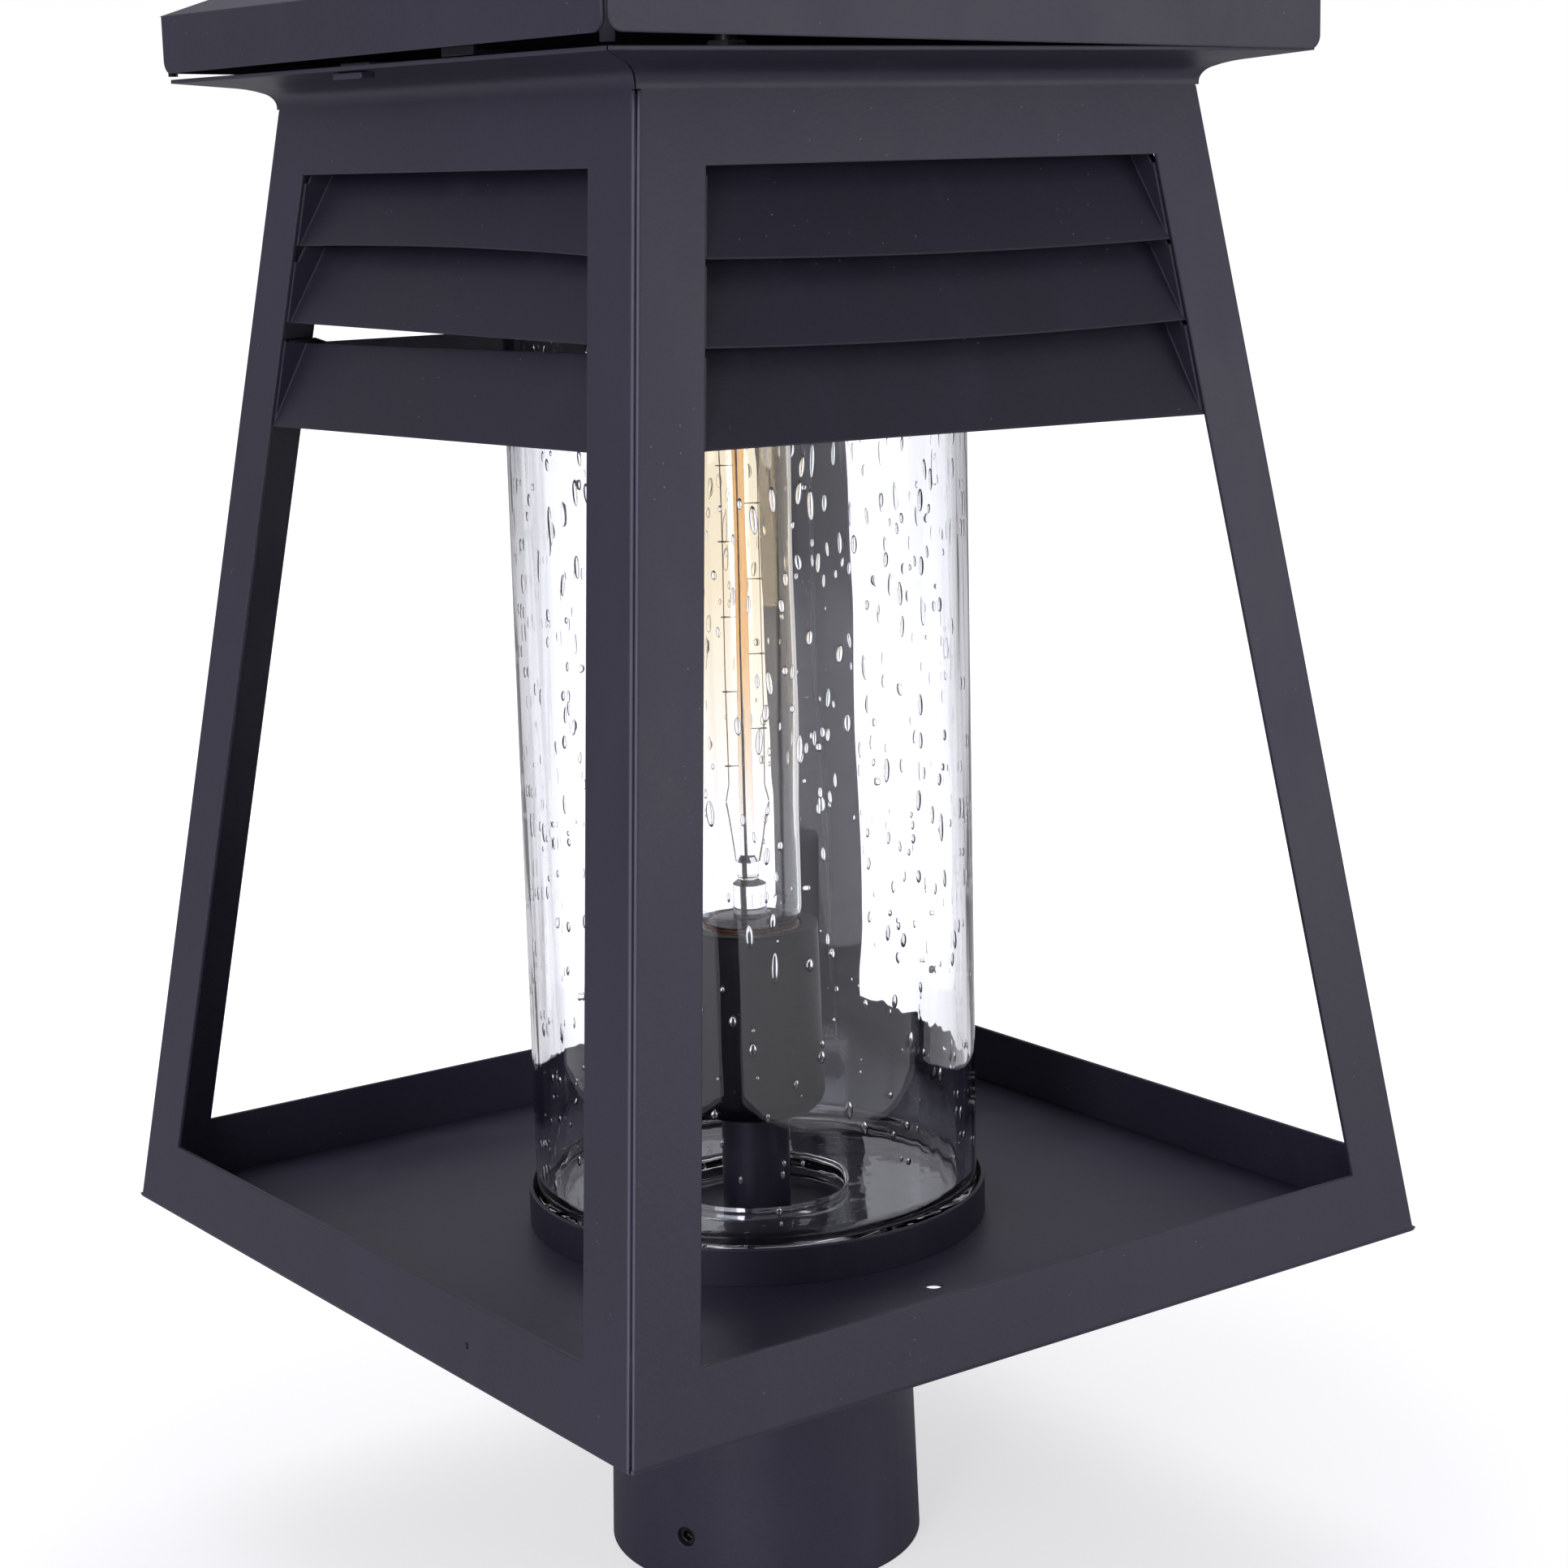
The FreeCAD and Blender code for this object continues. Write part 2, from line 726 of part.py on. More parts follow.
# How the front and right slats, and the back and left ones, are bent.
FRONT_EDGES = {
    1: ("front_1_start", "front_1_end", "front_1_hang", 1),
    2: ("front_2_start", "front_2_end", "front_2_hang", 1),
    3: ("front_3_start", "front_3_end", None, 0),
}
LEFT_EDGES = {
    1: ("left_1_start", "left_1_end", "left_1_lift", -1),
    2: ("left_2_start", "left_2_end", None, 0),
    3: ("left_3_start", "left_3_end", None, 0),
}
TOP_EDGES = {
    "left": ("left_3_top_start", "left_3_top_end"),
    "back": ("back_3_top", "back_3_top"),
}


def louvres(side):
    """Three slats, the lowest one deeper than the others."""
    edges = FRONT_EDGES if side in ("front", "right") else LEFT_EDGES
    for order in (1, 2):
        low = f"(window_top - {order} * slat_pitch)"
        louvre_slat(side, order, low, "(slat_pitch - slat_gap)", edges[order], None)
    low = "(window_top - 3 * slat_pitch - lowest_slat_extra)"
    louvre_slat(side, 3, low, "(slat_pitch + lowest_slat_extra - slat_gap)", edges[3],
                TOP_EDGES.get(side))


def tray_floor():
    body = new_body("tray_floor")
    half = "(foot_half - hem_radius - seat_gap)"
    clip = f"({half} - corner_clip)"
    plan = [
        (minus(clip), minus(half)), (clip, minus(half)),
        (half, minus(clip)), (half, clip),
        (clip, half), (minus(clip), half),
        (minus(half), clip), (minus(half), minus(clip)),
    ]
    holes = [
        circle("0", "0", "nipple_hole"),
        circle("weep_shift", "weep_offset", "weep_radius"),
        circle("-weep_shift", "-weep_offset", "weep_radius"),
    ]
    pad(body, "tray_floor_plate", "XY_Plane", [plan] + holes, "floor_sheet", lift="wall")
    place(body)


def gallery():
    body = turned("glass_gallery", [
        ("nipple_hole", "floor_top"),
        ("gallery_radius", "floor_top"),
        ("gallery_radius", "floor_top + gallery_depth"),
        ("gallery_radius - gallery_wall", "floor_top + gallery_depth"),
        ("gallery_radius - gallery_wall", "gallery_floor"),
        ("nipple_hole", "gallery_floor"),
    ])
    place(body)


def glass_cylinder():
    inside = "glass_radius - glass_wall"
    floor = "glass_low + glass_floor"
    body = turned("glass_cylinder", [
        ("glass_hole_radius + glass_edge", "glass_low"),
        ("glass_radius - glass_heel", "glass_low", "glass_heel", 1),
        ("glass_radius", "glass_low + glass_heel"),
        ("glass_radius", "glass_top - glass_wall / 2", "glass_wall / 2", 1),
        ("glass_radius - glass_wall / 2", "glass_top", "glass_wall / 2", 1),
        (inside, "glass_top - glass_wall / 2"),
        (inside, f"{floor} + glass_inner_heel", "glass_inner_heel", -1),
        (f"{inside} - glass_inner_heel", floor),
        ("glass_hole_radius + glass_edge", floor, "glass_edge", 1),
        ("glass_hole_radius", f"{floor} - glass_edge"),
        ("glass_hole_radius", "glass_low + glass_edge", "glass_edge", 1),
    ])
    place(body)


def post_fitter():
    """Tapered cup with a post socket, a stop ledge and a wiring chamber above it."""
    top = "tray_drop + wall"
    plate_low = "tray_drop + plate_low"
    body = turned("post_fitter", [
        ("bore_radius", "0"),
        ("fitter_rim_radius - rim_round", "0", "rim_round", 1),
        ("fitter_rim_radius", "rim_round"),
        ("fitter_top_radius", top),
        ("nipple_hole", top),
        ("nipple_hole", plate_low),
        ("chamber_radius", plate_low),
        ("chamber_radius", "post_depth"),
        ("bore_radius", "post_depth"),
    ])
    hole = circle("0", "screw_rise", "screw_hole_radius")
    first = pocket(body, "post_fitter_screw_hole", "XZ_Plane", [hole],
                   depth="fitter_rim_radius + overrun", reverse=True)
    around(body, "post_fitter_screw_holes", first, "screw_count")
    ground = circle("ground_offset", "0", "ground_radius + nipple_fit")
    pocket(body, "post_fitter_ground_hole", "XY_Plane", [ground])
    place(body, height="0", rotation=about_z(number("first_screw_angle - 270")))


def set_screw(order):
    """Hex-socket set screw, point towards the post, flush with the bore."""
    name = f"set_screw_{order}"
    body = turned(name, [
        ("0", "0"),
        ("screw_radius - screw_point", "0"),
        ("screw_radius", "screw_point"),
        ("screw_radius", "screw_length"),
        ("0", "screw_length"),
    ])
    flats = [(f"screw_hex * cos({60 * corner})", f"screw_hex * sin({60 * corner})")
             for corner in range(6)]
    pocket(body, name + "_socket", "XY_Plane", [flats], lift="screw_length",
           depth="screw_hex_depth")
    angle = f"(first_screw_angle + {order - 1} * 360 / screw_count)"
    tip = "(bore_radius + thread_play)"
    rotation = about_z(number(angle)).multiply(about_y(90))
    place(body, f"{tip} * cos({angle})", f"{tip} * sin({angle})", "screw_rise", rotation)


def ground_screw():
    head_low = "plate_low - ground_head"
    body = turned("ground_screw", [
        ("0", head_low),
        ("ground_head_radius", head_low),
        ("ground_head_radius", "plate_low"),
        ("ground_radius", "plate_low"),
        ("ground_radius", "wall"),
        ("0", "wall"),
    ])
    slot = rectangle("-ground_head_radius - overrun", "ground_head_radius + overrun",
                     "-ground_slot / 2", "ground_slot / 2")
    pocket(body, "ground_screw_slot", "XY_Plane", [slot], lift=head_low,
           depth="ground_head / 2", reverse=True)
    angle = "(first_screw_angle - 270)"
    place(body, f"ground_offset * cos({angle})", f"ground_offset * sin({angle})")


def hex_nut(name, corner_radius, bore, thickness, low):
    """A nut from a six-sided prism and a cylinder."""
    prism = doc.addObject("Part::Prism", name + "_hex")
    prism.Polygon = 6
    prism.setExpression("Circumradius", linked(corner_radius))
    prism.setExpression("Height", linked(thickness))
    way = doc.addObject("Part::Cylinder", name + "_way")
    way.setExpression("Radius", linked(bore))
    way.setExpression("Height", linked(thickness))
    for item in (prism, way):
        place(item, height=f"tray_drop + {low}")
    nut = doc.addObject("Part::Cut", name)
    nut.Base = prism
    nut.Tool = way
    return nut


def node_group(name, items):
    group = doc.addObject("Part::Compound", name)
    group.Label = name
    group.Links = items
    NODES[name] = group


def stem():
    """Nipple, its two nuts and lock washer, and the cover tube under the lampholder."""
    upper_nut = "holder_low + holder_floor"
    place(turned("nipple", tube_loop("nipple_bore", "nipple_radius", "nut_low - nipple_tail",
                                     f"{upper_nut} + nipple_nut + nipple_tail / 2")))
    node_group("nipple_nuts", [
        hex_nut("nipple_nut_lower", "nipple_nut_corner", "nipple_hole", "nipple_nut", "nut_low"),
        hex_nut("nipple_nut_upper", "nipple_nut_corner", "nipple_hole", "nipple_nut", upper_nut),
    ])
    place(turned("lock_washer", tube_loop("nipple_hole", "washer_radius",
                                          "plate_low - washer_sheet", "plate_low")))
    place(turned("stem_tube", tube_loop("stem_radius - stem_wall", "stem_radius",
                                        "gallery_floor", "holder_low")))


def lampholder():
    """Cup, insulating core, screw sleeve, spring contact and terminal screws."""
    inside = "holder_top_radius - holder_wall"
    floor = "holder_low + holder_floor"
    place(turned("lampholder_cup", [
        ("nipple_hole", "holder_low"),
        ("holder_low_radius - holder_round", "holder_low", "holder_round", 1),
        ("holder_low_radius", "holder_low + holder_round"),
        ("holder_top_radius", "holder_top - holder_edge", "holder_edge", 1),
        ("holder_top_radius - holder_edge", "holder_top"),
        ("holder_mouth", "holder_top"),
        ("holder_mouth", "holder_top - holder_wall"),
        (inside, "holder_top - holder_wall"),
        (inside, f"{floor} + holder_round - holder_wall", "holder_round - holder_wall", -1),
        (f"{inside} - holder_round + holder_wall", floor),
        ("nipple_hole", floor),
    ]))

    core = turned("lampholder_core", [
        ("core_eye", "core_foot"),
        ("core_radius", "core_foot"),
        ("core_radius", "core_top"),
        ("core_bore", "core_top"),
        ("core_bore", "core_deck"),
        ("core_eye", "core_deck"),
    ])
    ways = [circle("terminal_offset", "0", "terminal_radius + nipple_fit"),
            circle("-terminal_offset", "0", "terminal_radius + nipple_fit")]
    pocket(core, "lampholder_core_ways", "XY_Plane", ways, lift="core_foot",
           depth="terminal_length + thread_play", reverse=True)
    place(core)

    place(turned("screw_sleeve", tube_loop("sleeve_radius - sleeve_wall", "sleeve_radius",
                                           "core_deck", "core_top")))
    place(turned("spring_contact", [
        ("0", "core_deck - rivet_length"),
        ("rivet_radius", "core_deck - rivet_length"),
        ("rivet_radius", "core_deck"),
        ("contact_radius", "core_deck"),
        ("contact_radius", "contact_top"),
        ("0", "contact_top"),
    ]))
    screws = []
    for order, side in ((1, 1), (2, -1)):
        head = doc.addObject("Part::Cylinder", f"terminal_head_{order}")
        head.setExpression("Radius", linked("terminal_head_radius"))
        head.setExpression("Height", linked("terminal_head"))
        shank = doc.addObject("Part::Cylinder", f"terminal_shank_{order}")
        shank.setExpression("Radius", linked("terminal_radius"))
        shank.setExpression("Height", linked("terminal_length"))
        place(head, f"{side} * terminal_offset", "0", "tray_drop + core_foot - terminal_head")
        place(shank, f"{side} * terminal_offset", "0", "tray_drop + core_foot")
        screw = doc.addObject("Part::Fuse", f"terminal_screw_{order}")
        screw.Base = head
        screw.Tool = shank
        screws.append(screw)
    node_group("terminal_screws", screws)


def bulb_base():
    """Brass screw base with its rounded thread, black nose and tip."""
    rise = "base_pitch * base_crest_share"
    swell = "(base_crest - base_root)"
    bow = f"((({rise}) / 2)^2 + {swell}^2) / (2 * {swell})"
    loop = [("base_inner", "thread_low")]
    for turn in range(int(SIZES["base_turns"])):
        low = f"thread_low + {turn} * base_pitch"
        loop.append(("base_root", low, bow, 1))
        loop.append(("base_root", f"{low} + {rise}"))
    loop += [
        ("base_root", "thread_top"),
        ("base_rim_radius", "thread_top"),
        ("base_rim_radius", "rim_top"),
        ("bulb_neck_radius + thread_play", "rim_top"),
        ("bulb_neck_radius + thread_play", "thread_top + (base_rim_radius - base_crest)"),
        ("base_inner", "thread_top + (base_rim_radius - base_crest)"),
    ]
    turn = about_z(number("bulb_turn_angle"))
    place(turned("bulb_base", loop), rotation=turn)
    place(turned("bulb_nose", [
        ("0", "nose_low"),
        ("base_nose_radius", "nose_low"),
        ("base_inner", "thread_low"),
        ("base_inner", "thread_low + base_pitch / 2"),
        ("0", "thread_low + base_pitch / 2"),
    ]), rotation=turn)
    place(turned("bulb_tip", [
        ("0", "tip_low"),
        ("tip_radius / 2", "tip_low"),
        ("tip_radius", "tip_low + tip_height / 2"),
        ("tip_radius", "nose_low"),
        ("0", "nose_low"),
    ]), rotation=turn)


def bulb_glass():
    """Tubular envelope, heat disc and the glass mount with its long centre rod."""
    neck_foot = "thread_top + (base_rim_radius - base_crest) + thread_play"
    neck_top = "rim_top + bulb_neck_rise - bulb_shoulder / 2"
    shoulder = "(bulb_radius - bulb_neck_radius)"
    bow = f"({shoulder}^2 + bulb_shoulder^2) / (2 * {shoulder})"
    dome = "bulb_top - bulb_radius"
    turn = about_z(number("bulb_turn_angle"))
    place(turned("bulb_envelope", [
        ("bulb_neck_radius - bulb_wall", neck_foot),
        ("bulb_neck_radius", neck_foot),
        ("bulb_neck_radius", neck_top, bow, 1),
        ("bulb_radius", f"{neck_top} + bulb_shoulder"),
        ("bulb_radius", dome, "bulb_radius", 1),
        ("0", "bulb_top"),
        ("0", "bulb_top - bulb_wall", "bulb_radius - bulb_wall", -1),
        ("bulb_radius - bulb_wall", dome),
        ("bulb_radius - bulb_wall", f"{neck_top} + bulb_shoulder", bow, -1),
        ("bulb_neck_radius - bulb_wall", neck_top),
    ]), rotation=turn)
    place(turned("bulb_disc", rectangle("0", "disc_radius", "disc_low", "mount_low")), rotation=turn)
    place(turned("bulb_mount", [
        ("0", "mount_low"),
        ("mount_flare", "mount_low"),
        ("mount_flare", "mount_low + mount_flare_sheet"),
        ("mount_low_radius", "mount_low + 2 * mount_flare_sheet"),
        ("mount_low_radius", "knob_low - mount_waist / 2"),
        ("mount_waist", "knob_low"),
        ("mount_knob_radius", "knob_low + mount_waist / 4"),
        ("mount_knob_radius", "knob_top - mount_waist / 2"),
        ("rod_radius", "knob_top"),
        ("rod_radius", "rod_top", "rod_radius", 1),
        ("0", "rod_top + rod_radius"),
    ]), rotation=turn)


def wire(points, radius):
    """Round wire through the points, with a ball at each bend."""
    pieces = []
    for here, there in zip(points, points[1:]):
        run = there - here
        pieces.append(Part.makeCylinder(radius, run.Length, here, run))
    for bend in points[1:-1]:
        pieces.append(Part.makeSphere(radius, bend))
    return pieces[0].multiFuse(pieces[1:])


def add_wires(name, shapes):
    item = doc.addObject("Part::Feature", name)
    item.Label = name
    item.Shape = Part.makeCompound(shapes) if len(shapes) > 1 else shapes[0]
    place(item, rotation=about_z(number("bulb_turn_angle")))
    NODES[name] = item


def bulb_wires():
    """Leads from the knob, support hooks along the rod, and the long filament."""
    reach = number("wire_reach")
    lead_reach = number("lead_reach")
    knob_radius = number("mount_knob_radius")
    lead_radius = number("lead_radius")
    wire_radius = number("wire_radius")
    knob = number("knob_top - mount_waist / 2")
    lead_top = knob + number("lead_rise")
    filament_top = number("rod_top + rod_radius + wire_top_gap")
    leads = []
    for side in (-1, 1):
        foot = FreeCAD.Vector(side * (knob_radius + lead_radius), 0, knob)
        head = FreeCAD.Vector(side * lead_reach, 0, lead_top)
        leads.append(wire([foot, head], lead_radius))
    add_wires("bulb_leads", leads)

    hooks = []
    eye = number("support_eye")
    rod = number("rod_radius")
    pitch = number("support_pitch")
    for side, start in ((-1, lead_top + pitch / 2), (1, lead_top + pitch)):
        for order in range(int(SIZES["support_count"]) - (side + 1) // 2):
            height = start + order * pitch
            foot = FreeCAD.Vector(side * rod, 0, height)
            head = FreeCAD.Vector(side * (reach - eye), 0, height)
            ring = Part.makeTorus(eye, wire_radius, FreeCAD.Vector(side * reach, 0, height))
            hooks.append(wire([foot, head], wire_radius).fuse(ring))
    add_wires("bulb_supports", hooks)

    path = [
        FreeCAD.Vector(-lead_reach, 0, lead_top + lead_radius + wire_radius),
        FreeCAD.Vector(-reach, 0, lead_top + pitch / 4),
        FreeCAD.Vector(-reach, 0, filament_top - reach / 2),
        FreeCAD.Vector(0, 0, filament_top),
        FreeCAD.Vector(reach, 0, filament_top - reach / 2),
        FreeCAD.Vector(reach, 0, lead_top + pitch / 4),
        FreeCAD.Vector(lead_reach, 0, lead_top + lead_radius + wire_radius),
    ]
    add_wires("bulb_filament", [wire(path, wire_radius)])


def crossbar():
    """Strap across the neck, slanting from one side's slot to the other's, its legs
    through the flange slots and hooked under them."""
    body = new_body("crossbar")
    leg_out = "(bar_leg + bar_sheet / 2)"
    leg_in = "(bar_leg - bar_sheet / 2)"
    hook_end = f"({leg_out} + bar_hook)"
    right = [
        (leg_in, "bar_low"),
        (leg_in, "hook_top - bar_sheet"),
        (hook_end, "hook_top - bar_sheet"),
        (hook_end, "hook_top"),
        (leg_out, "hook_top"),
        (leg_out, "bar_top"),
    ]
    pad(body, "crossbar_strap", "XZ_Plane", [right + mirrored(right)],
        "2 * bar_shift + bar_width", symmetric=True)
    bend = "(bar_leg - bar_straight)"
    near, far = "(bar_shift - bar_width / 2)", "(bar_shift + bar_width / 2)"
    wide = f"({hook_end} + overrun)"
    beyond = f"({far} + overrun)"
    behind = [
        (minus(wide), far),
        (minus(bend), far),
        (bend, minus(near)),
        (wide, minus(near)),
        (wide, beyond),
        (minus(wide), beyond),
    ]
    before = [
        (wide, minus(far)),
        (bend, minus(far)),
        (minus(bend), near),
        (minus(wide), near),
        (minus(wide), minus(beyond)),
        (wide, minus(beyond)),
    ]
    pocket(body, "crossbar_slant", "XY_Plane", [behind, before])
    pocket(body, "crossbar_hole", "XY_Plane", [circle("0", "0", "stud_radius + stud_fit")])
    place(body)


def stud_and_nuts():
    lower = "bar_low - stud_nut"
    place(turned("roof_stud", rectangle("0", "stud_radius", f"{lower} - stud_tail", "stud_top")))
    node_group("stud_nuts", [
        hex_nut("stud_nut_lower", "stud_nut_corner", "stud_radius + stud_fit", "stud_nut", lower),
        hex_nut("stud_nut_upper", "stud_nut_corner", "stud_radius + stud_fit", "stud_nut", "bar_top"),
    ])


def pyramid(body, name, kind, half, flat_half, low, high):
    """A four-sided block that narrows from half to flat_half."""
    block = body.newObject(kind, name)
    block.AttachmentSupport = [(own_plane(body, "XZ_Plane"), "")]
    block.MapMode = "FlatFace"
    spans = (("X", half), ("Z", half), ("X2", flat_half), ("Z2", flat_half))
    for side, size in spans:
        block.setExpression(side + "min", linked(minus(size)))
        block.setExpression(side + "max", linked(size))
    block.setExpression("Ymin", linked(low))
    block.setExpression("Ymax", linked(high))


def hipped_cover(name, half, flat_half, eave, rise, drops, corner_open, corner_round):
    """A four-sided pressed cover: sloped top with a flat, and four bent-down edges
    whose corners stay a little open. The drops are those of the edges' lower ends,
    from the front left corner round to the back left one."""
    body = new_body(name)
    pyramid(body, name + "_outside", "PartDesign::AdditiveWedge", half, flat_half,
            eave, f"{eave} + {rise}")
    pyramid(body, name + "_inside", "PartDesign::SubtractiveWedge", half, flat_half,
            f"{eave} - roof_sheet", f"{eave} + {rise} - roof_sheet")
    end = f"({half} - {corner_open})"
    front_left, front_right, back_right, back_left = drops
    flaps = (
        ("front", "XZ_Plane", half, True, front_left, front_right),
        ("right", "YZ_Plane", half, True, front_right, back_right),
        ("back", "XZ_Plane", minus(half), False, back_left, back_right),
        ("left", "YZ_Plane", minus(half), False, front_left, back_left),
    )
    for side, plane, lift, reverse, start_drop, end_drop in flaps:
        start_low, end_low = f"{eave} - ({start_drop})", f"{eave} - ({end_drop})"
        edge = [
            (minus(end), eave),
            (minus(end), f"{start_low} + {corner_round}", corner_round, 1),
            (f"-{end} + {corner_round}", start_low),
            (f"{end} - {corner_round}", end_low, corner_round, 1),
            (end, f"{end_low} + {corner_round}"),
            (end, eave),
        ]
        pad(body, f"{name}_{side}", plane, [edge], "sheet", lift=lift, reverse=reverse)
    pocket(body, name + "_hole", "XY_Plane", [circle("0", "0", "stud_radius + stud_way")])
    place(body)


def roof_clips():
    """Angle clips inside the fascia that stand on the neck flange."""
    body = new_body("roof_clips")
    wall = "(roof_half - sheet)"
    low = "(flange_top + seat_gap)"
    angle = [
        (f"-{wall}", low),
        (f"-{wall} + clip_reach", low),
        (f"-{wall} + clip_reach", f"{low} + sheet"),
        (f"-{wall} + sheet", f"{low} + sheet"),
        (f"-{wall} + sheet", f"{low} + clip_height"),
        (f"-{wall}", f"{low} + clip_height"),
    ]
    clip = pad(body, "roof_clip", "YZ_Plane", [angle], "clip_width", lift="clip_offset",
               symmetric=True)
    around(body, "roof_clip_set", clip, "4")
    place(body)


def cap_and_finial():
    place(turned("cap_spacer", tube_loop("stud_radius + stud_way", "spacer_radius", "roof_top",
                                         "cap_top - roof_sheet")))
    place(turned("finial_washer", tube_loop("stud_radius + stud_way", "fibre_radius", "cap_top",
                                            "finial_low")))
    ball_middle = "(finial_low + finial_length - finial_ball)"
    ball_foot = f"({ball_middle} - sqrt(finial_ball^2 - finial_neck^2))"
    place(turned("finial", [
        ("stud_radius + thread_play", "finial_low"),
        ("finial_radius", "finial_low"),
        ("finial_radius", "finial_low + finial_foot / 2", "finial_foot / 2", 1),
        ("finial_radius - finial_foot / 2", "finial_low + finial_foot"),
        ("finial_neck", "finial_low + finial_foot + fibre_sheet"),
        ("finial_neck", ball_foot, "finial_ball", 1),
        ("finial_ball", ball_middle, "finial_ball", 1),
        ("0", "finial_low + finial_length"),
        ("0", "finial_low + finial_bore_depth"),
        ("stud_radius + thread_play", "finial_low + finial_bore_depth"),
    ]))


for side_name in SIDES:
    side_panel(side_name)
    louvres(side_name)
tray_floor()
gallery()
glass_cylinder()
post_fitter()
for screw_order in range(1, int(SIZES["screw_count"]) + 1):
    set_screw(screw_order)
ground_screw()
stem()
lampholder()
bulb_base()
bulb_glass()
bulb_wires()
crossbar()
stud_and_nuts()
FASCIA_DROPS = ("fascia - fascia_skew_across - fascia_skew_along",
                "fascia + fascia_skew_across - fascia_skew_along",
                "fascia + fascia_skew_across + fascia_skew_along",
                "fascia - fascia_skew_across + fascia_skew_along")
hipped_cover("roof_shell", "roof_half", "roof_flat_half", "eave", "roof_rise", FASCIA_DROPS,
             "fascia_corner_open", "fascia_corner_round")
hipped_cover("roof_cap", "cap_half", "cap_flat_half", "cap_eave", "cap_rise",
             ("cap_skirt",) * 4, "cap_corner_open", "cap_corner_open")
roof_clips()
cap_and_finial()
doc.recompute()

# Nothing is written unless every object and every shape is sound.
faults = [f"{item.Label}: {item.State}" for item in doc.Objects
          if "Invalid" in item.State or "Error" in item.State]
for node, item in NODES.items():
    if item.Shape.isNull() or not item.Shape.isValid() or not item.Shape.Solids:
        faults.append(f"{node}: no sound solid")
if faults:
    raise RuntimeError("\n".join(faults))

os.makedirs("parts", exist_ok=True)
for node, item in NODES.items():
    item.Shape.exportStep(f"parts/{node}.step")
    print(f"{node}: {len(item.Shape.Solids)} solids, {item.Shape.Volume:.1f} mm3")
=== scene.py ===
import json
import math
import random

import bmesh
import bpy
from mathutils import Matrix, Vector


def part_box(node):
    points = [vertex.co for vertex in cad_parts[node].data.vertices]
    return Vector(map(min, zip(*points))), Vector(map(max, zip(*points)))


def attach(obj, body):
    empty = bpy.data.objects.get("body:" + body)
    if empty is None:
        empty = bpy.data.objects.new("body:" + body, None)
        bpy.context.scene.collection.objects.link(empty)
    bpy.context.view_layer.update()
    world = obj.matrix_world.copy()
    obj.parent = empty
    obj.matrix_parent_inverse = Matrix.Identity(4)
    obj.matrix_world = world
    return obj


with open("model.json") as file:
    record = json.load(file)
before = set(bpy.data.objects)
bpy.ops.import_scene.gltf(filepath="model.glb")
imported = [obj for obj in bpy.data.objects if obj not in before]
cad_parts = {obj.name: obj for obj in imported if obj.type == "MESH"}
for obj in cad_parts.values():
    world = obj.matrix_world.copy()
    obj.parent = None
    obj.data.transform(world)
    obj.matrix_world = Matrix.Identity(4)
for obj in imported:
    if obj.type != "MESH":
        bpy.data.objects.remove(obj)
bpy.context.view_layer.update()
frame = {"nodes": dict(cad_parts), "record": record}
nodes = frame["nodes"]

# Lengths are metres and angles radians, in the frame of the part.

# Camera: the photograph's place, aim and lens.
CAMERA_PLACE = Vector((-0.48827, -0.68947, 0.38460))
CAMERA_YAW = 0.6284
CAMERA_PITCH = 0.1962
CAMERA_ROLL = -0.0251
PHOTO_SIDE = 1932
FOCAL_PIXELS = 3874.7
SENSOR = 36.0
CLIP_START = 0.01

# Surround: white where the camera sees it straight or through glass, dim for the object.
# What glass mirrors once, and what gloss mirrors, sees a share of the white.
WHITE = (1, 1, 1, 1)
SURROUND_TINT = (0.90, 0.89, 1.0, 1)
SURROUND_STRENGTH = 0.34
MIRRORED_ONCE = 0.55
GLOSS_SHARE = 0.08

# Floor: its glow rises with the distance, so that the shadow near the object shows.
FLOOR_SIZE = 30
FLOOR_TINT = (0.56, 0.56, 0.57, 1)
FLOOR_ROUGHNESS = 0.8
FLOOR_GLOSS = 0.1
GLOW_NEAR = 0.20
GLOW_FAR = 0.70
GLOW_SHARE = 0.60

# Lamps: place, aim, width, height, watts and colour.
LAMPS = {
    "key": ((1.05, -1.55, 0.42), (0, 0, 0.22), 1.1, 0.6, 7, (0.96, 0.94, 1.0)),
    "fill": ((-1.8, -0.5, 0.9), (0, 0, 0.25), 1.1, 1.1, 9, (0.93, 0.92, 1.0)),
    "edge": ((-1.40, -0.98, 0.35), (0, 0, 0.25), 0.35, 1.3, 12, (0.94, 0.93, 1.0)),
    "top": ((0.2, 0.4, 2.0), (0, 0, 0.2), 1.6, 1.6, 16, (1, 1, 1)),
}

# Powder coat: its colours at a shade of 1, its edge radius, the scales of its marks per
# metre, and the depths of its bumps.
COAT_DEEP = (0.0190, 0.0175, 0.0310)
COAT_PALE = (0.0265, 0.0245, 0.0430)
COAT_SMUDGE = (0.047, 0.044, 0.070)
COAT_GRAIN = (0.039, 0.037, 0.060)
COAT_DUST = (0.22, 0.22, 0.24, 1)
COAT_WORN_AND_SHEEN = (0.15, 0.15, 0.18, 1)
# The colour of the painted highlight on the body's folded corners.
COAT_PAINTED_HIGHLIGHT = (0.120, 0.116, 0.160, 1)
COAT_EDGE = 0.0007
COAT_GLOSS = 0.45
CLOUD_SCALE = 9
PATCH_SCALE = 30
SMUDGE_SCALE = 45
WORN_SCALE = 130
DUST_SCALE = 260.0
PEEL_SCALE = 620
PEEL_DEPTH = 0.00012
GRAIN_SCALE = 1500
GRAIN_DEPTH = 0.00006

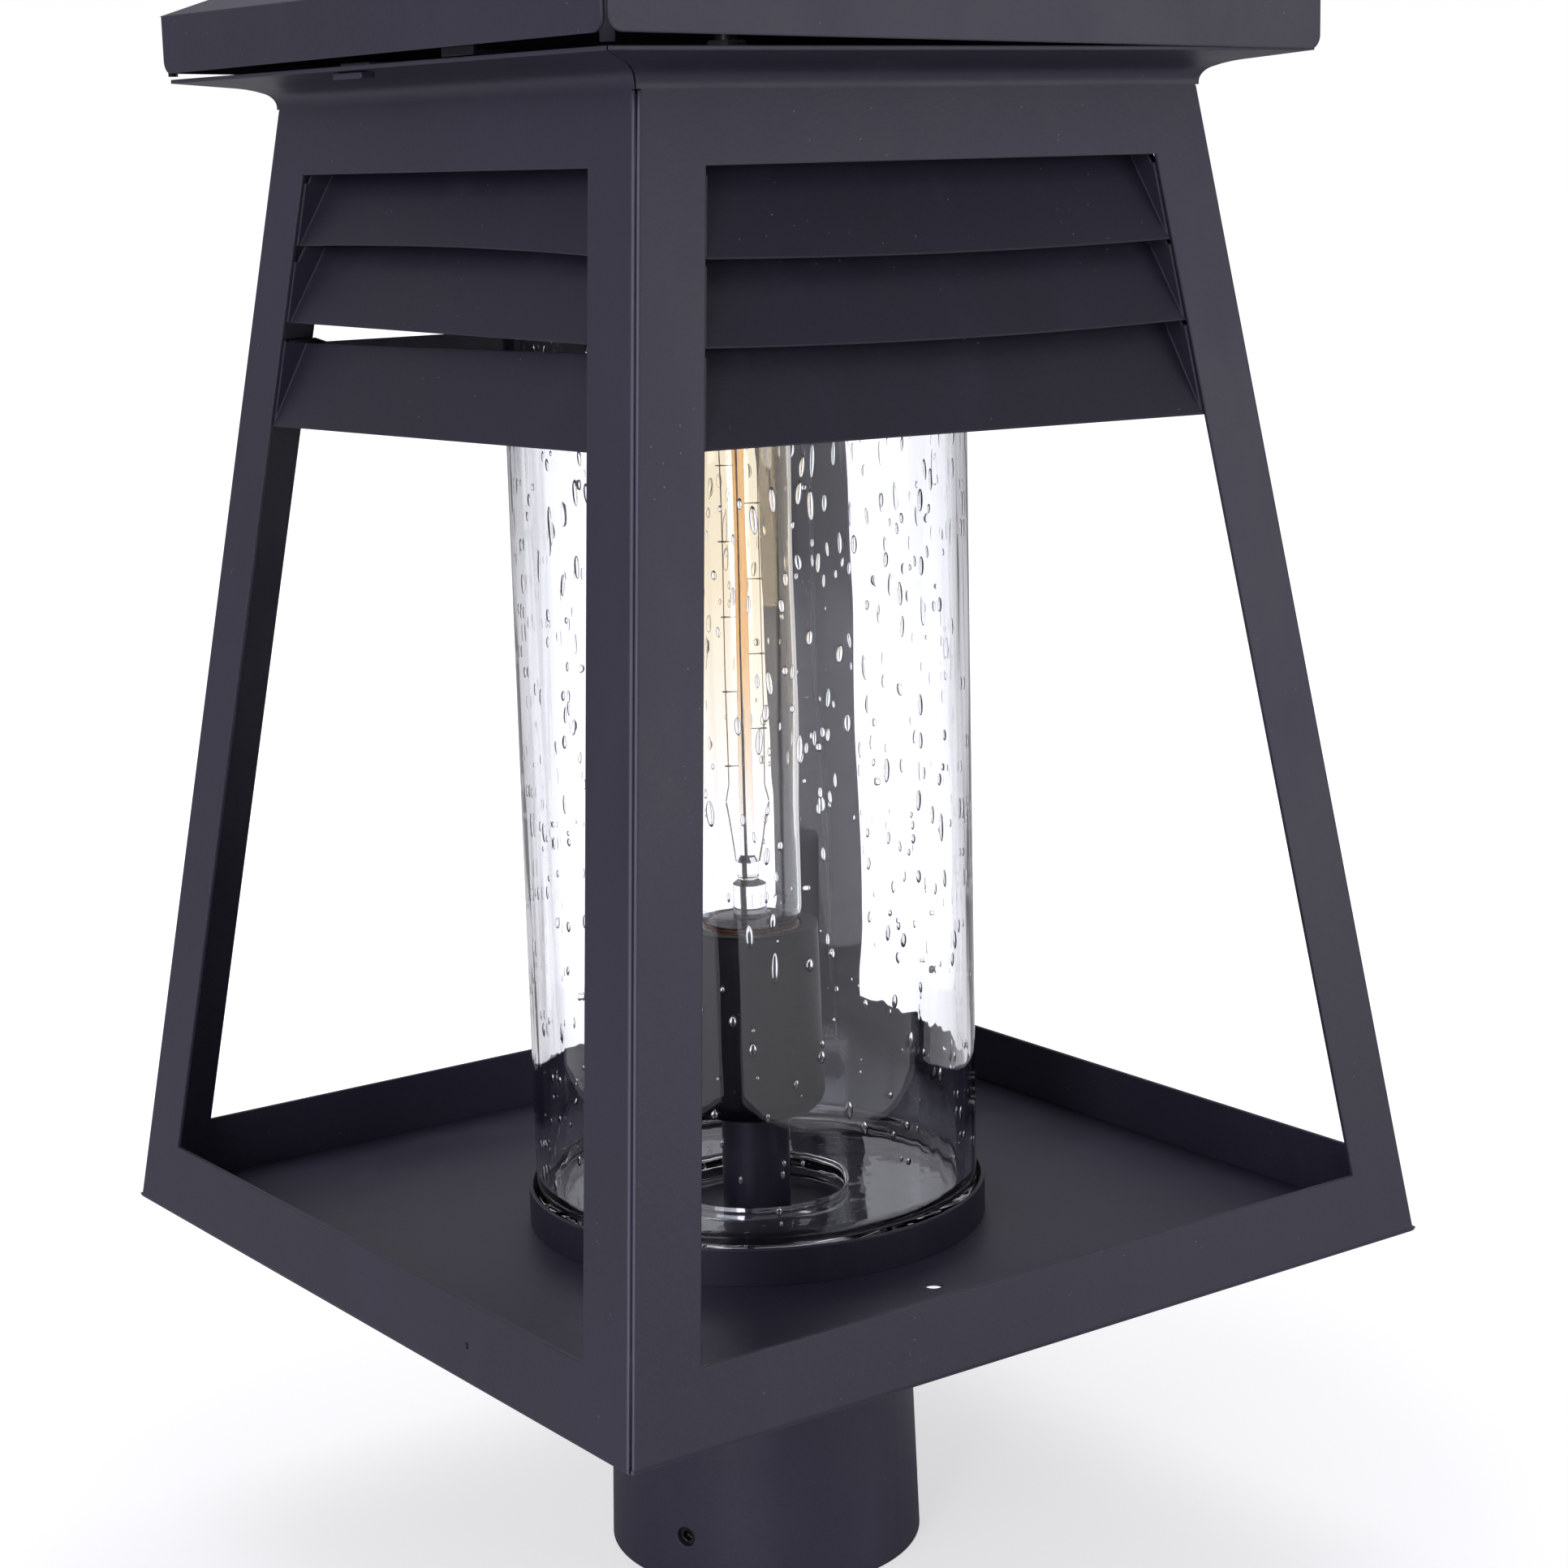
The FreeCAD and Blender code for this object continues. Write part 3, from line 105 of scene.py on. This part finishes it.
# Shades of the coat: painted shade on the louvres, roof clips and lampholder cup (the cup
# partly its own darker black), painted light on the tray and fitter; the seam's is its dark
# joint.
PANEL_SHADE = 1.0
LOUVRE_PAINTED_SHADE = 0.70
HOLDER_PAINTED_SHADE = 0.12
TRAY_PAINTED_LIGHT = 1.25
SEAM_SHADE = 0.5

# Painted highlight along the body's folded corners: how far from a corner it reaches, and the
# height where it ends.
CORNER_HIGHLIGHT_OUTER = 0.0013
CORNER_HIGHLIGHT_INNER = 0.0009
CORNER_HIGHLIGHT_TOP = 0.4000
CORNER_HIGHLIGHT_FADE = 0.004

# Glass: tint, refraction and the depths of its waves.
GLASS_TINT = (0.968, 0.975, 1.0, 1)
GLASS_IOR = 1.5
FINE_WAVE_DEPTH = 0.0012
BROAD_WAVE_DEPTH = 0.0030
SEED_TINT = (0.985, 0.988, 1.0, 1)
SEED_IOR = 1.24
SEED_FILM_DEPTH = 0.00005
BULB_WAVE_DEPTH = 0.0003
BULB_GLASSES = {
    "amber_glass": dict(high_colour=(1.0, 0.93, 0.78, 1), low_colour=(1.0, 1.0, 1.0, 1),
                        low=0.195, high=0.270, refraction=1.5),
    "mount_glass": dict(high_colour=(0.92, 0.60, 0.32, 1), low_colour=(1.0, 0.98, 0.97, 1),
                        low=0.200, high=0.255, refraction=1.34),
}

# Other finishes: two mottled colours, roughness from and to, grain scale and depth, and
# for some a stretched grain or the colour of worn edges.
FINISH_EDGE = 0.0003
BLOTCH_SCALE = 130
FINISHES = {
    "brass": dict(colour=(0.46, 0.27, 0.08), other=(0.30, 0.16, 0.04), metallic=1.0,
                  rough=(0.20, 0.38), grain=(900, 0.00004), worn=(0.75, 0.55, 0.25)),
    "zinc_steel": dict(colour=(0.55, 0.56, 0.57), other=(0.38, 0.38, 0.37), metallic=1.0,
                       rough=(0.28, 0.50), grain=(800, 0.00004), stretch=(1, 1, 4)),
    "black_steel": dict(colour=(0.035, 0.035, 0.040), other=(0.060, 0.055, 0.050),
                        metallic=1.0, rough=(0.30, 0.50), grain=(900, 0.00004),
                        worn=(0.25, 0.24, 0.24)),
    "green_screw": dict(colour=(0.03, 0.24, 0.08), other=(0.02, 0.15, 0.05), metallic=0.8,
                        rough=(0.30, 0.48), grain=(700, 0.00004), worn=(0.30, 0.42, 0.30)),
    "porcelain": dict(colour=(0.78, 0.76, 0.70), other=(0.70, 0.67, 0.60), metallic=0.0,
                      rough=(0.12, 0.28), grain=(500, 0.00003)),
    "black_insulator": dict(colour=(0.018, 0.017, 0.017), other=(0.030, 0.028, 0.026),
                            metallic=0.0, rough=(0.16, 0.32), grain=(600, 0.00003)),
    "solder": dict(colour=(0.58, 0.58, 0.60), other=(0.42, 0.42, 0.44), metallic=1.0,
                   rough=(0.25, 0.45), grain=(700, 0.00005)),
    "copper_disc": dict(colour=(0.330, 0.085, 0.060), other=(0.200, 0.060, 0.045),
                        metallic=0.10, rough=(0.35, 0.55), grain=(600, 0.00006)),
    "lead_wire": dict(colour=(0.55, 0.46, 0.42), other=(0.42, 0.28, 0.24), metallic=0.5,
                      rough=(0.25, 0.45), grain=(2500, 0.00001)),
    "filament_wire": dict(colour=(0.80, 0.66, 0.50), other=(0.66, 0.52, 0.38),
                          metallic=0.1, rough=(0.35, 0.55), grain=(3000, 0.00001)),
    "fibre": dict(colour=(0.050, 0.030, 0.022), other=(0.035, 0.020, 0.016),
                  metallic=0.0, rough=(0.55, 0.80), grain=(700, 0.00005)),
}

# Seeds: air bubbles inside the wall and floor of the glass, longer higher up.
SEED_START = 41
SEED_COUNT = 860
SEED_TRIES = 20000
SEED_GAP = 0.0003
SEED_LOWEST = 0.012
SEED_MARGIN = 0.020
GLASS_RADIUS = 0.0600
STRETCH_FOOT = 0.110
STRETCH_SPAN = 0.235
WIDEST_DEPTH = 0.00100
TALLEST = 0.0050
FINE_BALL = 3
COARSE_BALL = 2
FINE_FROM = 0.0015
FLOOR_SEED_COUNT = 34

# The sealant inside each corner of the roof's edge, above the panels' flange.
SEALANT_LOW = 0.0028
SEALANT_TALL = 0.0150
SEALANT_INSET = 0.0022
SEALANT_HALF = 0.0016
SEALANT_DEPTH = 0.0016

# The dark bead in each corner seam: heights, and how far it lies behind the edge.
SEAM_HALF = 0.00022
SEAM_FRONT = 0.00035
SEAM_DEPTH = 0.0030
SEAM_CROWN = 0.00008
SEAM_STEPS = ((0.0952, 0.00040), (0.1180, 0.00045), (0.1205, 0.00105), (0.3830, 0.00105),
              (0.3860, 0.00050), (0.4000, 0.00050))

# The panels' half width at foot and neck, and the rise between them.
PANEL_FOOT = 0.1287
PANEL_NECK = 0.0869
PANEL_RISE = 0.3073

CORNERS = ((-1, -1), (1, -1), (1, 1), (-1, 1))
RING = 5


def make_camera():
    forward = Vector((math.sin(CAMERA_YAW) * math.cos(CAMERA_PITCH),
                      math.cos(CAMERA_YAW) * math.cos(CAMERA_PITCH),
                      -math.sin(CAMERA_PITCH)))
    level = Vector((math.cos(CAMERA_YAW), -math.sin(CAMERA_YAW), 0))
    upright = level.cross(forward)
    right = math.cos(CAMERA_ROLL) * level + math.sin(CAMERA_ROLL) * upright
    up = -math.sin(CAMERA_ROLL) * level + math.cos(CAMERA_ROLL) * upright
    data = bpy.data.cameras.new("camera")
    data.sensor_width = SENSOR
    data.lens = FOCAL_PIXELS / PHOTO_SIDE * SENSOR
    data.clip_start = CLIP_START
    camera = bpy.data.objects.new("camera", data)
    camera.matrix_world = Matrix.Translation(CAMERA_PLACE) @ Matrix(
        (right, up, -forward)).transposed().to_4x4()
    bpy.context.scene.collection.objects.link(camera)
    bpy.context.scene.camera = camera


class Net:
    """A short way to build a node tree."""

    def __init__(self, tree):
        self.tree = tree

    def add(self, kind, **values):
        node = self.tree.nodes.new(kind)
        for key, value in values.items():
            setattr(node, key, value)
        return node

    def feed(self, socket, value):
        if isinstance(value, bpy.types.NodeSocket):
            self.tree.links.new(value, socket)
        else:
            socket.default_value = value

    def math(self, kind, first, second=0.0):
        node = self.add("ShaderNodeMath", operation=kind)
        self.feed(node.inputs[0], first)
        self.feed(node.inputs[1], second)
        return node.outputs[0]

    def mix(self, share, first, second):
        node = self.add("ShaderNodeMix", data_type="RGBA")
        self.feed(node.inputs[0], share)
        self.feed(node.inputs[6], first)
        self.feed(node.inputs[7], second)
        return node.outputs[2]

    def ramp(self, value, low, high, bottom=0.0, top=1.0):
        node = self.add("ShaderNodeMapRange")
        for index, number in enumerate((value, low, high, bottom, top)):
            self.feed(node.inputs[index], number)
        return node.outputs[0]

    def point(self):
        """The place on the part, which is the place in the frame at rest."""
        return self.add("ShaderNodeTexCoord").outputs["Object"]

    def place(self, scale=(1, 1, 1)):
        mapping = self.add("ShaderNodeMapping")
        self.feed(mapping.inputs["Vector"], self.point())
        self.feed(mapping.inputs["Scale"], scale)
        return mapping.outputs[0]

    def split(self):
        """The place on the part as separate X, Y and Z."""
        node = self.add("ShaderNodeSeparateXYZ")
        self.feed(node.inputs[0], self.point())
        return node.outputs

    def noise(self, where, scale, detail=2.0, roughness=0.5):
        node = self.add("ShaderNodeTexNoise")
        self.feed(node.inputs["Vector"], where)
        self.feed(node.inputs["Scale"], scale)
        self.feed(node.inputs["Detail"], detail)
        self.feed(node.inputs["Roughness"], roughness)
        return node.outputs[0]

    def bump(self, height, strength, distance, normal=None):
        node = self.add("ShaderNodeBump")
        self.feed(node.inputs["Strength"], strength)
        self.feed(node.inputs["Distance"], distance)
        self.feed(node.inputs["Height"], height)
        if normal is not None:
            self.feed(node.inputs["Normal"], normal)
        return node.outputs[0]

    def soft_edges(self, radius):
        """The rounded normal, and how near an edge the point is."""
        bevel = self.add("ShaderNodeBevel", samples=4)
        self.feed(bevel.inputs["Radius"], radius)
        plain = self.add("ShaderNodeNewGeometry").outputs["Normal"]
        dot = self.add("ShaderNodeVectorMath", operation="DOT_PRODUCT")
        self.feed(dot.inputs[0], bevel.outputs[0])
        self.feed(dot.inputs[1], plain)
        return bevel.outputs[0], self.ramp(dot.outputs["Value"], 0.995, 0.80)


def new_material(name):
    material = bpy.data.materials.new(name)
    material.use_nodes = True
    net = Net(material.node_tree)
    return material, net, material.node_tree.nodes["Principled BSDF"]


def area_light(name, place, aim, width, height, power, colour):
    data = bpy.data.lights.new(name, "AREA")
    data.shape = "RECTANGLE"
    data.size = width
    data.size_y = height
    data.energy = power
    data.color = colour
    lamp = bpy.data.objects.new(name, data)
    lamp.location = place
    lamp.rotation_euler = (Vector(aim) - Vector(place)).to_track_quat("-Z", "Y").to_euler()
    bpy.context.scene.collection.objects.link(lamp)


def straight_view(net):
    """One for what the camera sees straight or through glass, a share for what glass
    mirrors once on the way and for gloss, and zero for the light on the object."""
    path = net.add("ShaderNodeLightPath")
    diffuse = net.math("MULTIPLY", path.outputs["Diffuse Depth"], 2.0)
    bounces = net.math("ADD", path.outputs["Glossy Depth"], diffuse)
    clear = net.math("LESS_THAN", bounces, 0.5)
    once = net.math("MULTIPLY", net.math("LESS_THAN", bounces, 1.5), MIRRORED_ONCE)
    share = net.math("MAXIMUM", clear, once)
    through = net.math("MULTIPLY", path.outputs["Is Transmission Ray"], share)
    mirrored = net.math("MULTIPLY", path.outputs["Is Glossy Ray"], GLOSS_SHARE)
    seen = net.math("MAXIMUM", path.outputs["Is Camera Ray"], through)
    return net.math("MAXIMUM", seen, mirrored)


def make_surround():
    world = bpy.data.worlds.new("surround")
    bpy.context.scene.world = world
    world.use_nodes = True
    net = Net(world.node_tree)
    net.tree.nodes.clear()
    dim = net.add("ShaderNodeBackground")
    net.feed(dim.inputs["Color"], SURROUND_TINT)
    net.feed(dim.inputs["Strength"], SURROUND_STRENGTH)
    white = net.add("ShaderNodeBackground")
    net.feed(white.inputs["Color"], WHITE)
    net.feed(white.inputs["Strength"], 1.0)
    mix = net.add("ShaderNodeMixShader")
    net.feed(mix.inputs[0], straight_view(net))
    net.feed(mix.inputs[1], dim.outputs[0])
    net.feed(mix.inputs[2], white.outputs[0])
    output = net.add("ShaderNodeOutputWorld")
    net.feed(output.inputs["Surface"], mix.outputs[0])


def make_floor():
    bpy.ops.mesh.primitive_plane_add(size=FLOOR_SIZE, location=(0, 0, 0))
    floor = bpy.context.object
    floor.name = "floor"
    material, net, shader = new_material("floor_white")
    net.feed(shader.inputs["Base Color"], FLOOR_TINT)
    net.feed(shader.inputs["Roughness"], FLOOR_ROUGHNESS)
    net.feed(shader.inputs["Specular IOR Level"], FLOOR_GLOSS)
    net.feed(shader.inputs["Emission Color"], WHITE)
    reach = net.add("ShaderNodeVectorMath", operation="LENGTH")
    net.feed(reach.inputs[0], net.point())
    far = net.ramp(reach.outputs["Value"], GLOW_NEAR, GLOW_FAR, GLOW_SHARE, 1.0)
    net.feed(shader.inputs["Emission Strength"], net.math("MULTIPLY", straight_view(net), far))
    floor.data.materials.append(material)


def shaded(colour, shade):
    return (*(part * shade for part in colour), 1)


def painted_corner_highlight(net):
    """Painted highlight: one along the four folded corners of the body, below the neck."""
    place = net.split()
    across = net.math("ABSOLUTE", place["X"])
    along = net.math("ABSOLUTE", place["Y"])
    apart = net.math("ABSOLUTE", net.math("SUBTRACT", across, along))
    near = net.ramp(apart, CORNER_HIGHLIGHT_OUTER, CORNER_HIGHLIGHT_INNER)
    below = net.ramp(place["Z"], CORNER_HIGHLIGHT_TOP, CORNER_HIGHLIGHT_TOP - CORNER_HIGHLIGHT_FADE)
    patches = net.noise(net.place((1.0, 1.0, 0.3)), 60, 2.0)
    uneven = net.ramp(patches, 0.30, 0.70, 0.70, 1.0)
    return net.math("MULTIPLY", net.math("MULTIPLY", near, below), uneven)


def black_coat(name, shade, highlit_corners=False):
    """Satin charcoal powder coat: fine orange peel, faint smudges, dust and lighter edges; its
    shade paints light and shade into lighter and darker copies, and a painted highlight can
    run along the body's corners.
    """
    material, net, shader = new_material(name)
    where = net.place()
    normal, edge = net.soft_edges(COAT_EDGE)
    cloud = net.noise(where, CLOUD_SCALE, 4.0, 0.6)
    smudge = net.noise(net.place((1.0, 1.0, 0.35)), SMUDGE_SCALE, 5.0, 0.65)
    grain = net.noise(where, GRAIN_SCALE, 2.0, 0.6)
    peel = net.noise(where, PEEL_SCALE, 3.0, 0.55)

    tone = net.mix(net.ramp(cloud, 0.35, 0.65), shaded(COAT_DEEP, shade),
                   shaded(COAT_PALE, shade))
    tone = net.mix(net.ramp(smudge, 0.52, 0.80, 0.0, 0.35), tone, shaded(COAT_SMUDGE, shade))
    tone = net.mix(net.ramp(grain, 0.30, 0.70, 0.0, 0.30), tone, shaded(COAT_GRAIN, shade))
    dust = net.add("ShaderNodeTexVoronoi")
    net.feed(dust.inputs["Vector"], where)
    net.feed(dust.inputs["Scale"], DUST_SCALE)
    speck = net.ramp(dust.outputs["Distance"], 0.07, 0.04)
    patch = net.ramp(net.noise(where, PATCH_SCALE, 2.0), 0.50, 0.62)
    dusty = net.math("MULTIPLY", net.math("MULTIPLY", speck, patch), 0.55)
    tone = net.mix(dusty, tone, COAT_DUST)
    # Lighter edges: partly worn coat, partly a painted highlight along the edges.
    wear = net.ramp(net.noise(where, WORN_SCALE, 3.0), 0.35, 0.70, 0.40, 0.9)
    worn = net.math("MULTIPLY", edge, wear)
    tone = net.mix(net.math("MULTIPLY", worn, 0.25), tone, COAT_WORN_AND_SHEEN)
    if highlit_corners:
        # Painted highlight along the folded corners of the body.
        tone = net.mix(painted_corner_highlight(net), tone, COAT_PAINTED_HIGHLIGHT)
    net.feed(shader.inputs["Base Color"], tone)

    rough = net.math("ADD", net.ramp(cloud, 0.3, 0.7, 0.40, 0.50),
                     net.ramp(smudge, 0.5, 0.8, 0.0, 0.07))
    net.feed(shader.inputs["Roughness"], rough)
    net.feed(shader.inputs["Specular IOR Level"], COAT_GLOSS * shade ** 0.5)
    low = net.bump(peel, 0.30, PEEL_DEPTH, normal)
    net.feed(shader.inputs["Normal"], net.bump(grain, 0.22, GRAIN_DEPTH, low))
    return material


def clear_glass(name, tint, refraction):
    material, net, shader = new_material(name)
    net.feed(shader.inputs["Base Color"], tint)
    net.feed(shader.inputs["Transmission Weight"], 1.0)
    net.feed(shader.inputs["IOR"], refraction)
    return material, net, shader


def seeded_glass():
    """Clear hand-drawn glass whose surface runs in soft vertical waves."""
    material, net, shader = clear_glass("seeded_glass", GLASS_TINT, GLASS_IOR)
    smear = net.noise(net.place((1.0, 1.0, 0.3)), 60, 4.0)
    net.feed(shader.inputs["Roughness"], net.ramp(smear, 0.58, 0.85, 0.0, 0.035))
    wave = net.noise(net.place((1.0, 1.0, 0.10)), 75, 2.0, 0.45)
    broad = net.noise(net.place((1.0, 1.0, 0.45)), 26, 1.0, 0.4)
    first = net.bump(wave, 0.20, FINE_WAVE_DEPTH)
    net.feed(shader.inputs["Normal"], net.bump(broad, 0.22, BROAD_WAVE_DEPTH, first))
    return material


def seed_skin():
    """The skin of an air seed, which bends light less than the outer faces do."""
    material, net, shader = clear_glass("seed_skin", SEED_TINT, SEED_IOR)
    film = net.noise(net.place(), 700, 2.0)
    net.feed(shader.inputs["Roughness"], net.ramp(film, 0.5, 0.8, 0.0, 0.04))
    net.feed(shader.inputs["Normal"], net.bump(film, 0.15, SEED_FILM_DEPTH))
    return material


def tinted_glass(name, high_colour, low_colour, low, high, refraction):
    """Glass that turns amber between two heights."""
    material, net, shader = clear_glass(name, WHITE, refraction)
    rise = net.ramp(net.split()["Z"], low, high)
    net.feed(shader.inputs["Base Color"], net.mix(rise, low_colour, high_colour))
    film = net.noise(net.place((1.0, 1.0, 0.25)), 90, 3.0)
    net.feed(shader.inputs["Roughness"], net.ramp(film, 0.55, 0.85, 0.0, 0.03))
    draw = net.noise(net.place((1.0, 1.0, 0.08)), 160, 2.0, 0.5)
    net.feed(shader.inputs["Normal"], net.bump(draw, 0.25, BULB_WAVE_DEPTH))
    return material


def finish(name, colour, other, metallic, rough, grain, stretch=(1, 1, 1), worn=None):
    """A metal, lacquer, ceramic or board with mottled colour and a fine grain."""
    material, net, shader = new_material(name)
    where = net.place(stretch)
    normal, edge = net.soft_edges(FINISH_EDGE)
    blotch = net.noise(where, BLOTCH_SCALE, 4.0, 0.6)
    scale, depth = grain
    fine = net.noise(where, scale, 3.0, 0.6)
    tone = net.mix(net.ramp(blotch, 0.35, 0.68), (*colour, 1), (*other, 1))
    if worn is not None:
        tone = net.mix(net.math("MULTIPLY", edge, 0.6), tone, (*worn, 1))
    net.feed(shader.inputs["Base Color"], tone)
    net.feed(shader.inputs["Metallic"], metallic)
    net.feed(shader.inputs["Roughness"], net.ramp(fine, 0.3, 0.7, *rough))
    net.feed(shader.inputs["Normal"], net.bump(fine, 0.35, depth, normal))
    return material


def dress(material, *names):
    for name in names:
        data = nodes[name].data
        data.materials.clear()
        data.materials.append(material)


def mesh_piece(name, corners, faces, material, body):
    """A smooth piece that rides on a body."""
    data = bpy.data.meshes.new(name)
    data.from_pydata(corners, [], faces)
    for polygon in data.polygons:
        polygon.use_smooth = True
    data.materials.append(material)
    piece = bpy.data.objects.new(name, data)
    bpy.context.scene.collection.objects.link(piece)
    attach(piece, body)


def seed_sizes(chance, height):
    """Half the width, depth and height of a seed."""
    span = (height - STRETCH_FOOT) / STRETCH_SPAN
    width = chance.uniform(0.00045, 0.00105)
    pull = 1.1 + chance.uniform(0.3, 2.9) * (0.35 + 1.1 * span)
    if chance.random() < 0.10 * span:
        pull *= 1.9
    if chance.random() < 0.30:
        width *= 0.6
    return width, min(width * 0.85, WIDEST_DEPTH), min(width * pull, TALLEST)


def unit_ball(level):
    shape = bmesh.new()
    bmesh.ops.create_icosphere(shape, subdivisions=level, radius=1)
    shape.verts.index_update()
    corners = [vertex.co.copy() for vertex in shape.verts]
    faces = [tuple(vertex.index for vertex in face.verts) for face in shape.faces]
    shape.free()
    return corners, faces


def seeds(material):
    """Each seed's faces look inward, because its skin bounds the glass round it."""
    chance = random.Random(SEED_START)
    low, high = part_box("glass_cylinder")
    balls = {level: unit_ball(level) for level in (COARSE_BALL, FINE_BALL)}
    corners = []
    faces = []

    def add_ball(level, place):
        start = len(corners)
        points, sides = balls[level]
        corners.extend(place @ point for point in points)
        faces.extend(tuple(start + index for index in reversed(side)) for side in sides)

    placed = []
    tries = 0
    while len(placed) < SEED_COUNT and tries < SEED_TRIES:
        tries += 1
        rise = (high[2] - low[2] - SEED_MARGIN) * chance.random() ** 0.9
        height = low[2] + SEED_LOWEST + rise
        turn = chance.uniform(0, 2 * math.pi)
        width, depth, tall = seed_sizes(chance, height)
        where = Vector((turn * GLASS_RADIUS, height, 0))
        if any((abs(where.x - other.x) < width + size[0] + SEED_GAP
                and abs(where.y - other.y) < tall + size[2] + SEED_GAP)
               for other, size in placed):
            continue
        placed.append((where, (width, depth, tall)))
        reach = GLASS_RADIUS + chance.uniform(-0.00025, 0.00025)
        centre = Vector((reach * math.cos(turn), reach * math.sin(turn), height))
        outward = Vector((math.cos(turn), math.sin(turn), 0))
        lean = Matrix.Rotation(chance.uniform(-0.12, 0.12), 4, outward)
        place = (Matrix.Translation(centre) @ lean @ Matrix.Rotation(turn, 4, "Z")
                 @ Matrix.Diagonal((depth, width, tall, 1)))
        add_ball(FINE_BALL if tall > FINE_FROM else COARSE_BALL, place)
    for _ in range(FLOOR_SEED_COUNT):
        turn = chance.uniform(0, 2 * math.pi)
        reach = chance.uniform(0.030, 0.050)
        size = chance.uniform(0.0004, 0.0011)
        centre = Vector((reach * math.cos(turn), reach * math.sin(turn),
                         low[2] + chance.uniform(0.003, 0.006)))
        place = Matrix.Translation(centre) @ Matrix.Diagonal((size * 1.3, size, size * 0.8, 1))
        add_ball(COARSE_BALL, place)
    mesh_piece("glass_seeds", corners, faces, material, "glass")


def corner_ways(across, along):
    """The way out of a corner, and the way along its face."""
    outward = Vector((across, along, 0)).normalized()
    return outward, Vector((-outward.y, outward.x, 0))


def bead_ring(front, back, crown, side):
    """Five corners of a bead's cross-section, with a crown in the middle of its front."""
    return [front + side, front + crown, front - side, back - side, back + side]


def bead_faces(count):
    """The faces of a closed bead whose corners come in rings, from the bottom up."""
    faces = [tuple(reversed(range(RING))), tuple(range(count - RING, count))]
    for lower in range(0, count - RING, RING):
        for index in range(RING):
            following = (index + 1) % RING
            faces.append((lower + index, lower + following,
                          lower + following + RING, lower + index + RING))
    return faces


def roof_sealant(material):
    low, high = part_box("roof_shell")
    for order, (across, along) in enumerate(CORNERS, start=1):
        outward, side = corner_ways(across, along)
        front = Vector((across * high[0], along * high[1], 0)) - outward * SEALANT_INSET
        ring = bead_ring(front, front - outward * SEALANT_DEPTH,
                         outward * SEALANT_DEPTH / 3, side * SEALANT_HALF)
        corners = [point + Vector((0, 0, low[2] + SEALANT_LOW + rise))
                   for rise in (0, SEALANT_TALL) for point in ring]
        mesh_piece(f"roof_sealant_{order}", corners, bead_faces(len(corners)), material,
                   "roof")


def seam_beads(material):
    low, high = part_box("side_panel_front")
    foot_half = -low[1]
    lean = (PANEL_FOOT - PANEL_NECK) / PANEL_RISE
    for order, (across, along) in enumerate(CORNERS, start=1):
        outward, side = corner_ways(across, along)
        corners = []
        for height, recess in SEAM_STEPS:
            half = foot_half - lean * (height - low[2])
            corner = Vector((across * half, along * half, height))
            corners += bead_ring(corner - outward * (recess + SEAM_FRONT),
                                 corner - outward * (recess + SEAM_DEPTH),
                                 outward * SEAM_CROWN, side * SEAM_HALF)
        mesh_piece(f"corner_seam_{order}", corners, bead_faces(len(corners)), material,
                   "root")


make_camera()
make_surround()
make_floor()
for name, row in LAMPS.items():
    area_light(name, *row)

slots = {row["node"]: row["material_slot"] for row in frame["record"]["subparts"]}
library = {"black_coat": black_coat("black_coat", 1.0), "seeded_glass": seeded_glass()}
for name, row in BULB_GLASSES.items():
    library[name] = tinted_glass(name, **row)
for name, row in FINISHES.items():
    library[name] = finish(name, **row)
for name, slot in slots.items():
    dress(library[slot], name)

panels = [name for name in slots if name.startswith("side_panel_")]
louvres = [name for name in slots if name.startswith("louvre_")]
# The panels carry the painted highlight along their folded corners.
dress(black_coat("panel_coat_painted_highlight", PANEL_SHADE, highlit_corners=True), *panels)
# Painted shade: the louvres wear a darker copy of the same coat.
dress(black_coat("louvre_coat_painted_shade", LOUVRE_PAINTED_SHADE), *louvres)
# Painted shade: the roof clips, and partly the lampholder cup beside its own darker black,
# wear a much darker copy of the coat.
dress(black_coat("holder_coat_painted_shade", HOLDER_PAINTED_SHADE), "lampholder_cup", "roof_clips")
# Painted light: the tray floor and post fitter wear a lighter copy of the coat.
dress(black_coat("tray_coat_painted_light", TRAY_PAINTED_LIGHT), "tray_floor", "post_fitter")

seam_coat = black_coat("seam_coat", SEAM_SHADE)
seam_beads(seam_coat)
roof_sealant(seam_coat)
seeds(seed_skin())

scene = bpy.context.scene
scene.view_settings.view_transform = "Standard"
